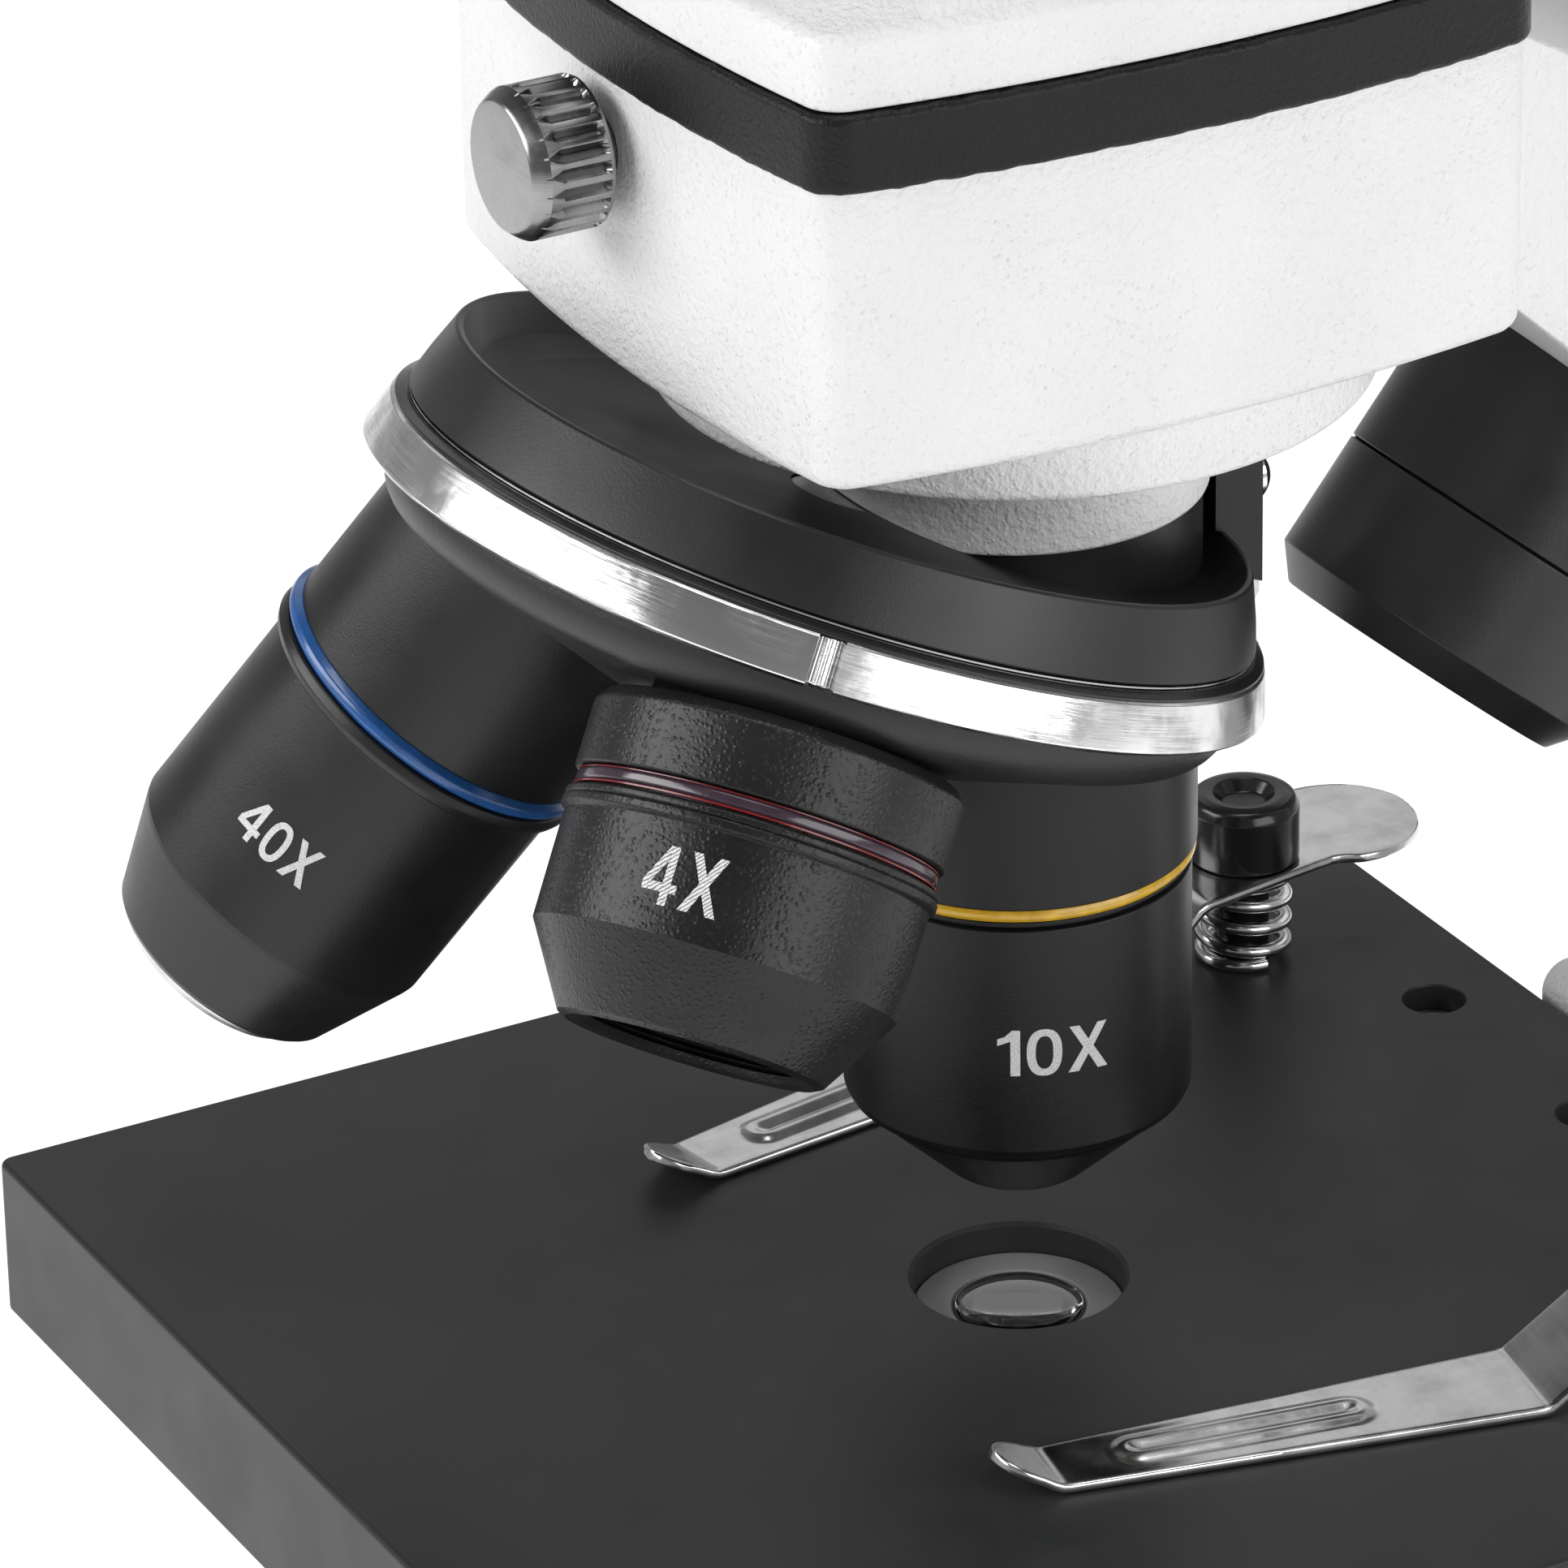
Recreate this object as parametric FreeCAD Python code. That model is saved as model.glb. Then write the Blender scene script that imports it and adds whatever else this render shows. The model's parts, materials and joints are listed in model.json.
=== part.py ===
"""A student monocular compound microscope with a tilted triple nosepiece, a plain stage and two LED lamps.

Everything is drawn about the optical axis: x = y = 0 on the axis and z = 0 on the stage's top face, with the
arm towards +Y. save() then moves each piece so that z = 0 is the table and the base is centred on the origin.
Lengths are in millimetres, angles in degrees.
"""

import FreeCAD, Part
import math
import os

V = FreeCAD.Vector
X_AXIS = V(1, 0, 0)
Z_AXIS = V(0, 0, 1)
ORIGIN = V(0, 0, 0)

# Driving sizes
STAGE_HEIGHT = 125.0  # table to the stage's top face
FOOT_HEIGHT = 5.0
BASE_HEIGHT = 30.0
BASE_HALF_WIDTH = 58.0
BASE_FRONT, BASE_REAR = -58.0, 102.0
AXIS_OFFSET = (BASE_FRONT + BASE_REAR) / 2
FLOOR_Z = -STAGE_HEIGHT
BASE_BOTTOM = FLOOR_Z + FOOT_HEIGHT
BASE_TOP = BASE_BOTTOM + BASE_HEIGHT
BASE_WALL = 3.0

STAGE_HALF_WIDTH = 45.0
STAGE_FRONT, STAGE_REAR = -47.5, 47.1
STAGE_THICKNESS = 10.5
APERTURE_R = 6.5

HEAD_BOTTOM, BAND_BOTTOM, BAND_TOP = 65.8, 83.5, 88.1
HEAD_REAR = 21.0
BAND_PROUD = 0.4
BAND_SEAT = 1.2  # how far the block steps in behind the band
BOSS_R, BOSS_BOTTOM = 21.2, 60.7
NECK_R, NECK_BOTTOM = 11.4, 52.9
DOVETAIL_R, DOVETAIL_BOTTOM = 15.9, 76.5
LIGHT_PATH_R = 7.0
RUNNING = 0.06  # radial clearance of a shaft in its hole

TURRET_TILT = 21.7
TURRET_CENTRE = V(0, -13.3, 50.0)
RING_R, RING_R_TOP, RING_HEIGHT = 27.3, 26.4, 3.0
CUP_BOTTOM, CUP_RIM = 3.6, 7.9  # heights along the tilted axis
CUP_R_BOTTOM, CUP_R_RIM = 25.6, 24.0
CUP_FLOOR_TOP = 4.9
TURRET_R = 25.6
OBJECTIVE_STEP = 120.0

LAMP_TILT = 39.2  # from vertical; the lamp looks at the aperture
LAMP_FACE = 44.1  # aperture to the lamp's end face
LAMP_R, LAMP_FACE_R, LAMP_CHAMFER = 10.8, 9.2, 2.0
LAMP_SEAM = 53.6
LAMP_ROOT = 63.4

ARM_HALF_WIDTH = 17.0
LIMB_FRONT, LIMB_TOP = 48.0, 1.5
SLOT_HALF_WIDTH, SLOT_REAR, SLOT_TOP = 9.0, 64.5, -8.0

FOCUS_Z = -50.0
RACK_MODULE, PINION_TEETH = 0.8, 13
RACK_PITCH_Y = 62.7
PINION_R = RACK_MODULE * PINION_TEETH / 2
FOCUS_Y = RACK_PITCH_Y + PINION_R
COARSE_SHAFT_R, FINE_SHAFT_R, BUSH_R = 3.0, 1.5, 5.0
COARSE_KNOB_R, COARSE_KNOB_IN, COARSE_KNOB_OUT = 20.0, 17.5, 31.0
FINE_KNOB_R, FINE_KNOB_IN, FINE_KNOB_OUT = 12.0, 31.4, 42.5

CLIP_PIVOT = (29.7, 33.8)
CLIP_LEVEL = 6.5  # underside of the blade at its pivot
CLIP_SHEET = 0.6
CLIP_CAP_R, CLIP_CAP_TOP = 3.6, 11.7
CLIP_PIN_R, CLIP_SPRING_R = 1.7, 3.2
CLIP_TURN = 10.0  # how far the blades point inwards

DISC_PIVOT_Y, DISC_R = -15.0, 22.0
DISC_TOP, DISC_SHEET = -11.0, 1.2

TUBE_TILT = 45.0
TUBE_PIVOT_Z = 102.0
TUBE_R, TUBE_BORE = 13.2, 11.65
TUBE_START, TUBE_END = 22.0, 66.0
EYEPIECE_TOP = 86.0


# Shape helpers
def cylinder(r, z0, z1, x=0.0, y=0.0):
    return Part.makeCylinder(r, z1 - z0, V(x, y, z0))


def cylinder_x(r, x0, x1, y, z):
    return Part.makeCylinder(r, x1 - x0, V(x0, y, z), X_AXIS)


def cylinder_y(r, y0, y1, x, z):
    return Part.makeCylinder(r, y1 - y0, V(x, y0, z), V(0, 1, 0))


def box(x0, x1, y0, y1, z0, z1):
    return Part.makeBox(x1 - x0, y1 - y0, z1 - z0, V(x0, y0, z0))


def turned(profile):
    """A solid of revolution about Z from (radius, height) corners."""
    points = [V(r, 0, z) for r, z in profile]
    face = Part.Face(Part.makePolygon(points + [points[0]]))
    return face.revolve(ORIGIN, Z_AXIS, 360)


def corner_arc(before, corner, after, radius):
    """The two tangent points and the middle point of an arc that rounds a corner."""
    towards = (before - corner).normalize()
    away = (after - corner).normalize()
    half = towards.getAngle(away) / 2
    inset = radius / math.tan(half)
    bisector = (towards + away).normalize()
    centre = corner + bisector * (radius / math.sin(half))
    return corner + towards * inset, centre - bisector * radius, corner + away * inset


def rounded_outline(corners):
    """A closed wire through (point, radius) corners, each rounded by its radius."""
    count = len(corners)
    arcs = []
    for i, (point, radius) in enumerate(corners):
        before, after = corners[i - 1][0], corners[(i + 1) % count][0]
        arcs.append(corner_arc(before, point, after, radius) if radius else (point,))
    edges = []
    for i, arc in enumerate(arcs):
        if len(arc) == 3:
            edges.append(Part.Arc(*arc).toShape())
        start, end = arc[-1], arcs[(i + 1) % count][0]
        if (end - start).Length > 1e-6:
            edges.append(Part.makeLine(start, end))
    return Part.Wire(edges)


def plate_x(corners, half_width):
    """A slab from -half_width to half_width in X, with a (y, z, radius) outline."""
    wire = rounded_outline([(V(-half_width, y, z), r) for y, z, r in corners])
    return Part.Face(wire).extrude(V(2 * half_width, 0, 0))


def plate_z(corners, z0, z1):
    """A slab from z0 to z1, with an (x, y, radius) outline."""
    wire = rounded_outline([(V(x, y, z0), r) for x, y, r in corners])
    return Part.Face(wire).extrude(V(0, 0, z1 - z0))


def bent_strip(underside, thickness, half_width, bend_r):
    """A strip along X of even thickness, over the (y, z) corners of its underside, with rounded bends."""
    path = [V(0, y, z) for y, z in underside]
    normals = []
    for start, end in zip(path, path[1:]):
        along = (end - start).normalize()
        normals.append(V(0, along.z, -along.y))
    normals = [normals[0]] + normals + [normals[-1]]
    upper = []
    for i, corner in enumerate(path):
        a, b = normals[i], normals[i + 1]
        upper.append(corner + (a + b) * (thickness / (1 + a.dot(b))))
    last = len(path) - 1
    corners = []
    for i, corner in enumerate(path):
        corners.append((corner.y, corner.z, 0 if i in (0, last) else bend_r))
    for i in range(last, -1, -1):
        corners.append((upper[i].y, upper[i].z, 0 if i in (0, last) else bend_r))
    return plate_x(corners, half_width)


def turn_about(shape, centre, axis, angle):
    turned_shape = shape.copy()
    turned_shape.rotate(centre, axis, angle)
    return turned_shape


def mirrored(shape):
    return shape.mirror(ORIGIN, X_AXIS)


def save(name, *solids):
    """Writes one node, moved so that the base's centre on the table is the origin."""
    shape = Part.makeCompound([s for given in solids for s in given.Solids])
    shape.translate(V(0, -AXIS_OFFSET, STAGE_HEIGHT))
    os.makedirs("parts", exist_ok=True)
    shape.exportStep(f"parts/{name}.step")


# Local frames
def tilted(shape):
    """From the nosepiece's own frame, with its axis along Z, to its place."""
    placed = turn_about(shape, ORIGIN, X_AXIS, -TURRET_TILT)
    placed.translate(TURRET_CENTRE)
    return placed


TURRET_AXIS = V(0, math.sin(math.radians(TURRET_TILT)), math.cos(math.radians(TURRET_TILT)))


def station(shape, index):
    """Turns an objective drawn on the optical axis to its place: 0 in use, 1 and 2 in front."""
    return turn_about(shape, TURRET_CENTRE, TURRET_AXIS, -index * OBJECTIVE_STEP)


def lamp_place(shape):
    """From Z = distance from the aperture, to the upper lamp's axis."""
    return turn_about(shape, ORIGIN, X_AXIS, -LAMP_TILT)


def tube_place(shape):
    """From Z = distance from the prism, to the eyepiece tube's axis over the arm."""
    placed = turn_about(shape, ORIGIN, X_AXIS, -TUBE_TILT)
    placed.translate(V(0, 0, TUBE_PIVOT_Z))
    return placed


# Stand
def base_outline(inset):
    x, y0, y1 = BASE_HALF_WIDTH - inset, BASE_FRONT + inset, BASE_REAR - inset
    front_r, rear_r = 34.0 - inset, 22.0 - inset
    return [(-x, y0, front_r), (x, y0, front_r), (x, y1, rear_r), (-x, y1, rear_r)]


SWITCH_X, JACK_X, REAR_PANEL_Z = 20.0, -20.0, -104.0


def base_casting():
    body = plate_z(base_outline(0), BASE_BOTTOM, BASE_TOP)
    top_edges = [e for e in body.Edges if min(v.Z for v in e.Vertexes) > BASE_TOP - 0.01]
    body = body.makeFillet(9.0, top_edges)
    pocket = plate_z(base_outline(BASE_WALL), BASE_BOTTOM, BASE_TOP - BASE_WALL - 6)
    body = body.cut(pocket)
    body = body.cut(cylinder(14.5, BASE_BOTTOM, BASE_TOP + 1))
    body = body.cut(box(SWITCH_X - 5, SWITCH_X + 5, 90, 110, REAR_PANEL_Z - 8, REAR_PANEL_Z + 8))
    body = body.cut(cylinder_y(5.0, 90, 110, JACK_X, REAR_PANEL_Z))
    for x, y in bolt_places():
        body = body.cut(cylinder(2.6, BASE_BOTTOM, BASE_TOP + 1, x, y))
    return body


def bolt_places():
    return [(-12.4, 58.0), (12.4, 58.0), (-12.4, 84.0), (12.4, 84.0)]


def arm_bolts():
    under = BASE_TOP - BASE_WALL - 6
    head = cylinder(4.5, under - 4, under)
    shank = cylinder(2.5, under, BASE_TOP + 11.5)
    bolt = head.fuse(shank)
    return [bolt.translated(V(x, y, 0)) for x, y in bolt_places()]


PLATE_INSET = BASE_WALL + 0.2
PLATE_SHEET = 2.0


def plate_screw_places():
    return [(-46, -10), (46, -10), (-46, 64), (46, 64)]


def bottom_plate():
    plate = plate_z(base_outline(PLATE_INSET), BASE_BOTTOM, BASE_BOTTOM + PLATE_SHEET)
    for x, y in plate_screw_places():
        plate = plate.cut(cylinder(1.6, FLOOR_Z, BASE_BOTTOM + 5, x, y))
    return plate


def bottom_plate_screws():
    screw = cylinder(3.0, BASE_BOTTOM - 1.5, BASE_BOTTOM).fuse(cylinder(1.5, BASE_BOTTOM, BASE_BOTTOM + 8))
    return [screw.translated(V(x, y, 0)) for x, y in plate_screw_places()]


def foot_places():
    return [(-38, -34), (38, -34), (-42, 86), (42, 86)]


def rubber_feet():
    foot = turned([(0, FLOOR_Z), (8.2, FLOOR_Z), (9, FLOOR_Z + 0.8), (9, BASE_BOTTOM), (0, BASE_BOTTOM)])
    return [foot.translated(V(x, y, 0)) for x, y in foot_places()]


LOWER_LENS_R = 14.0
LOWER_LAMP_TOP = -72.0


def lower_lamp_housing():
    profile = [
        (LOWER_LENS_R, BASE_TOP),
        (21.0, BASE_TOP),
        (21.0, BASE_TOP + 8),
        (19.0, BASE_TOP + 11),
        (19.0, LOWER_LAMP_TOP - 1.2),
        (17.8, LOWER_LAMP_TOP),
        (LOWER_LENS_R, LOWER_LAMP_TOP),
    ]
    skirt = cylinder(14.4, BASE_TOP - 9, BASE_TOP).cut(cylinder(12.5, BASE_TOP - 9, BASE_TOP))
    ledge = cylinder(LOWER_LENS_R, LOWER_LAMP_TOP - 8, LOWER_LAMP_TOP - 5).cut(
        cylinder(12.5, LOWER_LAMP_TOP - 8, LOWER_LAMP_TOP - 5)
    )
    return turned(profile).fuse(skirt).fuse(ledge)


def domed_lens(r, flat_z, edge_height, dome_height):
    """A lens with a flat underside, a short rim and a domed top."""
    sphere_r = (r * r + dome_height * dome_height) / (2 * dome_height)
    top = flat_z + edge_height + dome_height
    ball = Part.makeSphere(sphere_r, V(0, 0, top - sphere_r))
    return ball.common(cylinder(r, flat_z, top))


def lower_lamp_lens():
    return domed_lens(LOWER_LENS_R, LOWER_LAMP_TOP - 5, 2.5, 2.8)


def lower_led_board():
    board = cylinder(12.0, BASE_TOP - 7, BASE_TOP - 5.4)
    chip = cylinder(3.0, BASE_TOP - 5.4, BASE_TOP - 3.4)
    return board.fuse(chip)


def power_jack():
    barrel = cylinder_y(4.9, 92, 101.2, JACK_X, REAR_PANEL_Z)
    socket = cylinder_y(2.9, 93.5, 102, JACK_X, REAR_PANEL_Z)
    pin = cylinder_y(1.0, 93.5, 100.5, JACK_X, REAR_PANEL_Z)
    return barrel.cut(socket).fuse(pin)


SWITCH_PIVOT_Y = 97.0


def rocker_switch():
    corners = [(95.5, -4.5, 0), (99.4, -6.0, 0), (101.6, -6.3, 0), (100.2, 0.0, 0), (101.6, 6.3, 0), (99.4, 6.0, 0)]
    corners.append((95.5, 4.5, 0))
    rocker = plate_x(corners, 4.2)
    return rocker.translated(V(SWITCH_X, 0, REAR_PANEL_Z))


def arm_corners():
    """The arm's side outline: over the top from the head, down the back, and up the inside."""
    return [
        (HEAD_REAR, 82.8, 0),
        (48.0, 68.6, 40),
        (84.0, 36.0, 60),
        (95.0, -30.0, 60),
        (95.0, BASE_TOP, 0),
        (LIMB_FRONT, BASE_TOP, 0),
        (LIMB_FRONT, LIMB_TOP, 2.0),
        (60.5, LIMB_TOP, 3.0),
        (60.5, 29.8, 18),
        (HEAD_REAR, 67.0, 0),
    ]


def arm():
    body = plate_x(arm_corners(), ARM_HALF_WIDTH)
    back = [e for e in body.Edges if edge_on_back(e)]
    body = body.makeChamfer(3.2, back)
    slot = box(-SLOT_HALF_WIDTH, SLOT_HALF_WIDTH, LIMB_FRONT - 1, SLOT_REAR, BASE_TOP + 4, SLOT_TOP)
    body = body.cut(slot)
    body = body.cut(cylinder_x(PINION_R + 2.2, -SLOT_HALF_WIDTH, SLOT_HALF_WIDTH, FOCUS_Y, FOCUS_Z))
    body = body.cut(cylinder_x(BUSH_R, -ARM_HALF_WIDTH, ARM_HALF_WIDTH, FOCUS_Y, FOCUS_Z))
    body = body.cut(lamp_place(cylinder(4.0, LAMP_ROOT - 4, LAMP_ROOT + 8)))
    for x, y in bolt_places():
        body = body.cut(cylinder(2.5, BASE_TOP, BASE_TOP + 12, x, y))
    return body.cut(lamp_place(cylinder(LAMP_R + 0.6, LAMP_FACE, LAMP_ROOT)))


def edge_on_back(edge):
    """Long side edges of the arm's top and back, which carry the wide chamfer."""
    box_ = edge.BoundBox
    on_side = abs(abs(box_.XMin) - ARM_HALF_WIDTH) < 0.01 and box_.XLength < 0.01
    middle = edge.valueAt((edge.FirstParameter + edge.LastParameter) / 2)
    outside = middle.z > 84.4 - 0.62 * (middle.y - HEAD_REAR) or middle.y > 75
    return on_side and outside and edge.Length > 2 and box_.YMin > HEAD_REAR - 0.1 and box_.ZLength > 0.5


def focus_bushings():
    ring = cylinder_x(BUSH_R, SLOT_HALF_WIDTH + 0.5, ARM_HALF_WIDTH, FOCUS_Y, FOCUS_Z)
    ring = ring.cut(cylinder_x(COARSE_SHAFT_R + RUNNING, 0, 30, FOCUS_Y, FOCUS_Z))
    return [ring, mirrored(ring)]


# Head block
def head_outline(z, grow=0.0):
    """Plan of the head: a shallow curved nose, slightly bulging sides and a straight back."""
    front, middle, rear = 22.4 + grow, 24.3 + grow, 22.2 + grow
    nose_side, nose, back = -24.3 - grow, -26.3 - grow, HEAD_REAR + grow
    a, b = V(front, nose_side, z), V(-front, nose_side, z)
    c, d = V(-rear, back, z), V(rear, back, z)
    edges = [
        Part.Arc(a, V(0, nose, z), b).toShape(),
        Part.Arc(b, V(-middle, -2, z), c).toShape(),
        Part.makeLine(c, d),
        Part.Arc(d, V(middle, -2, z), a).toShape(),
    ]
    return Part.Wire(edges)


def head_slab(z0, z1, grow=0.0, corner_r=2.4):
    slab = Part.Face(head_outline(z0, grow)).extrude(V(0, 0, z1 - z0))
    upright = [e for e in slab.Edges if e.BoundBox.ZLength > (z1 - z0) - 0.01]
    return slab.makeFillet(corner_r, upright)


SCREW_Z = 79.2
SCREW_R = 1.9


def below_cup_floor():
    """Everything under the top of the tilted cup's floor."""
    return tilted(cylinder(60, -60, CUP_FLOOR_TOP))


def head_block():
    block = head_slab(HEAD_BOTTOM, BAND_BOTTOM)
    lower = [e for e in block.Edges if e.BoundBox.ZMax < HEAD_BOTTOM + 0.01]
    block = block.makeFillet(1.2, lower)
    block = block.fuse(head_slab(BAND_BOTTOM, BAND_TOP, -BAND_SEAT, 1.8))
    boss = cylinder(BOSS_R, BOSS_BOTTOM, HEAD_BOTTOM)
    boss = boss.makeFillet(2.0, [e for e in boss.Edges if e.BoundBox.ZMax < BOSS_BOTTOM + 0.01])
    neck = cylinder(NECK_R, NECK_BOTTOM, BOSS_BOTTOM + 3).cut(below_cup_floor())
    block = block.fuse(boss).fuse(neck)
    block = block.cut(cylinder(LIGHT_PATH_R, NECK_BOTTOM - 5, BAND_TOP + 1))
    block = block.cut(cylinder(DOVETAIL_R + RUNNING, DOVETAIL_BOTTOM - 0.3, BAND_TOP + 1))
    return block.cut(cylinder_y(SCREW_R + RUNNING, -30, -DOVETAIL_R + 2, 0, SCREW_Z))


def head_band():
    outer = head_slab(BAND_BOTTOM, BAND_TOP, BAND_PROUD, 2.8)
    return outer.cut(head_slab(BAND_BOTTOM, BAND_TOP, -BAND_SEAT, 1.8))


def head_lock_screw():
    head = cylinder_y(4.4, -32.6, -27.5, 0, SCREW_Z)
    head = head.makeChamfer(0.35, [e for e in head.Edges if e.BoundBox.YLength < 0.01])
    shank = cylinder_y(SCREW_R, -27.5, -DOVETAIL_R - 0.2, 0, SCREW_Z)
    return head.fuse(shank)


# Nosepiece
def nosepiece_cup():
    profile = [
        (3.0, CUP_BOTTOM),
        (CUP_R_BOTTOM, CUP_BOTTOM),
        (CUP_R_RIM, CUP_RIM),
        (CUP_R_RIM - 0.7, CUP_RIM),
        (CUP_R_RIM - 1.6, CUP_FLOOR_TOP + 1.3),
        (CUP_R_RIM - 3.4, CUP_FLOOR_TOP + 0.3),
        (CUP_R_RIM - 6.0, CUP_FLOOR_TOP),
        (3.0, CUP_FLOOR_TOP),
    ]
    cup = tilted(turned(profile))
    boss = cylinder(NECK_R - 0.4, 35, NECK_BOTTOM).cut(tilted(cylinder(60, -60, CUP_FLOOR_TOP - 0.5)))
    cup = cup.fuse(boss)
    cup = cup.cut(cylinder(LIGHT_PATH_R, 30, 70))
    return cup.cut(tilted(cylinder(60, -60, CUP_BOTTOM)))


def nosepiece_spacer_ring():
    low = RING_HEIGHT + 0.1
    return tilted(turned([(23.0, low), (26.3, low), (26.2, low + 0.15), (25.5, CUP_BOTTOM), (23.0, CUP_BOTTOM)]))


PIVOT_R = 3.0
PIVOT_HEAD_TOP = -11.3
TURRET_WALL = 2.3  # how far the turret's rim reaches below the ring


def nosepiece_pivot():
    shank = cylinder(PIVOT_R, PIVOT_HEAD_TOP, CUP_FLOOR_TOP)
    low, high = PIVOT_HEAD_TOP - 2.8, PIVOT_HEAD_TOP
    head = turned([(0, low), (4.6, low), (5.4, low + 0.8), (5.4, high), (0, high)])
    return tilted(shank.fuse(head))


def cone_height(r):
    """Height of the turret's underside at radius r: it slopes so that each seat faces its objective."""
    return -TURRET_WALL - (TURRET_R + 0.3 - r) * math.tan(math.radians(TURRET_TILT))


def nosepiece_turret():
    hub = 6.4
    profile = [
        (PIVOT_R + RUNNING, RING_HEIGHT),
        (PIVOT_R + RUNNING, cone_height(hub)),
        (hub, cone_height(hub)),
        (TURRET_R, cone_height(TURRET_R)),
        (TURRET_R, RING_HEIGHT),
    ]
    body = tilted(turned(profile))
    hole = cylinder(LIGHT_PATH_R + 1, 30, 60)
    for index in range(3):
        body = body.cut(station(hole, index))
    return body


def nosepiece_ring():
    profile = [
        (TURRET_R, 0),
        (RING_R - 0.4, 0),
        (RING_R, 0.3),
        (RING_R_TOP, RING_HEIGHT - 0.15),
        (RING_R_TOP - 0.2, RING_HEIGHT),
        (TURRET_R, RING_HEIGHT),
    ]
    ring = turned(profile)
    for index in range(3):
        notch = box(-0.6, 0.6, RING_R_TOP - 0.35, RING_R + 1, -1, RING_HEIGHT + 1)
        ring = ring.cut(turn_about(notch, ORIGIN, Z_AXIS, index * OBJECTIVE_STEP))
    return tilted(ring)


BRACKET_REAR = 13.9
LEAF_SHEET = 0.4


def detent_bracket():
    """A lug that stands on the cup's rear wall and carries the detent leaf."""
    lug = box(-5, 5, 9.4, BRACKET_REAR, 44.0, 55.0)
    wall = [(0, -20), (CUP_R_BOTTOM, -20), (CUP_R_BOTTOM, CUP_BOTTOM), (CUP_R_RIM, CUP_RIM), (0, CUP_RIM)]
    inside = tilted(turned(wall))
    foot = tilted(cylinder(CUP_R_BOTTOM + 3, -20, CUP_RIM - 2.5))
    return lug.cut(inside).cut(foot).cut(cylinder(NECK_R + 0.4, 40, 60))


def detent_spring():
    outer = BRACKET_REAR + LEAF_SHEET
    corners = [
        (BRACKET_REAR, 55.0, 0),
        (outer, 55.0, 0),
        (outer, 43.9, 0.3),
        (outer - 1.15, 42.2, 0.5),
        (outer, 40.5, 0.3),
        (outer, 38.0, 0),
        (BRACKET_REAR, 38.0, 0),
        (BRACKET_REAR, 40.4, 0.3),
        (BRACKET_REAR - 1.25, 42.2, 0.5),
        (BRACKET_REAR, 44.0, 0.3),
    ]
    leaf = plate_x(corners, 4.0)
    for x in (-2.7, 2.7):
        leaf = leaf.cut(cylinder_y(1.0, 10, 20, x, 51.0))
    return leaf


def detent_screws():
    dome = Part.makeSphere(1.9, V(0, BRACKET_REAR + LEAF_SHEET - 0.7, 51.0))
    dome = dome.common(cylinder_y(1.6, BRACKET_REAR + LEAF_SHEET, 20, 0, 51.0))
    screw = dome.fuse(cylinder_y(1.0, BRACKET_REAR, BRACKET_REAR + LEAF_SHEET + 0.2, 0, 51.0))
    return [screw.translated(V(x, 0, 0)) for x in (-2.7, 2.7)]


# Objectives, drawn on the optical axis
BARREL_TOP = 46.0
STUB_R = LIGHT_PATH_R + 1


def barrel(profile, bore_r, tip_z, index):
    """A turned barrel with a threaded stub, cut to sit on the turret's slope."""
    shell = turned([(0, tip_z)] + profile + [(profile[-1][0], BARREL_TOP), (0, BARREL_TOP)])
    collar = shell.cut(station(nosepiece_turret_mass(), -index).cut(cylinder(STUB_R, 30, 60)))
    stub_top = collar.common(cylinder(STUB_R, tip_z, 43.6)).fuse(collar.cut(cylinder(STUB_R, 38, 60)))
    return station(stub_top.cut(cylinder(bore_r, tip_z - 1, 60)), index)


def nosepiece_turret_mass():
    """The turret without holes, and everything above its underside."""
    profile = [(0, 20), (0, cone_height(0)), (TURRET_R + 8, cone_height(TURRET_R + 8)), (TURRET_R + 8, 20)]
    return tilted(turned(profile))


RING_4X = (32.5, 33.65)
RING_10X = (29.2, 30.0)
RING_40X = (26.95, 27.95)


def objective_4x_barrel():
    profile = [
        (7.6, 20.1),
        (10.55, 24.9),
        (10.65, 31.3),
        (10.95, 31.45),
        (10.95, 32.3),
        (10.6, RING_4X[0]),
        (10.0, RING_4X[0]),
        (10.0, RING_4X[1]),
        (10.8, RING_4X[1]),
        (10.8, 37.6),
        (10.2, 38.2),
        (STUB_R, 38.2),
    ]
    body = barrel(profile, 5.2, 20.1, 1)
    return body.cut(station(cylinder(6.1, 19, 23.4), 1))


def objective_10x_barrel():
    profile = [
        (4.25, 7.95),
        (10.43, 13.8),
        (10.43, 28.6),
        (10.1, 28.7),
        (10.1, RING_10X[0]),
        (9.9, RING_10X[0]),
        (9.9, RING_10X[1]),
        (10.75, RING_10X[1]),
        (10.75, 40.0),
    ]
    return barrel(profile, 2.6, 7.95, 0)


NOSE_R = 6.8
NOSE_TRAVEL = 2.0


def objective_40x_barrel():
    profile = [
        (7.5, 5.3),
        (9.95, 11.6),
        (9.95, 25.75),
        (10.6, 25.9),
        (10.6, RING_40X[0]),
        (9.9, RING_40X[0]),
        (9.9, RING_40X[1]),
        (10.15, RING_40X[1]),
        (10.15, 40.0),
    ]
    body = barrel(profile, 5.0, 5.3, 2)
    return body.cut(station(cylinder(NOSE_R + RUNNING, 5, 14.6 + NOSE_TRAVEL), 2))


def objective_40x_nose():
    profile = [
        (2.0, 3.9),
        (5.7, 3.9),
        (6.3, 4.2),
        (NOSE_R, 4.8),
        (NOSE_R, 14.4),
        (4.6, 14.4),
        (4.6, 9.0),
        (2.0, 7.0),
    ]
    return station(turned(profile), 2)


def colour_ring(span, r, index):
    low, high = span
    bulge = 0.25 * (high - low)
    profile = [(9.9, low), (r - bulge, low), (r, (low + high) / 2), (r - bulge, high), (9.9, high)]
    return station(turned(profile), index)


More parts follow.
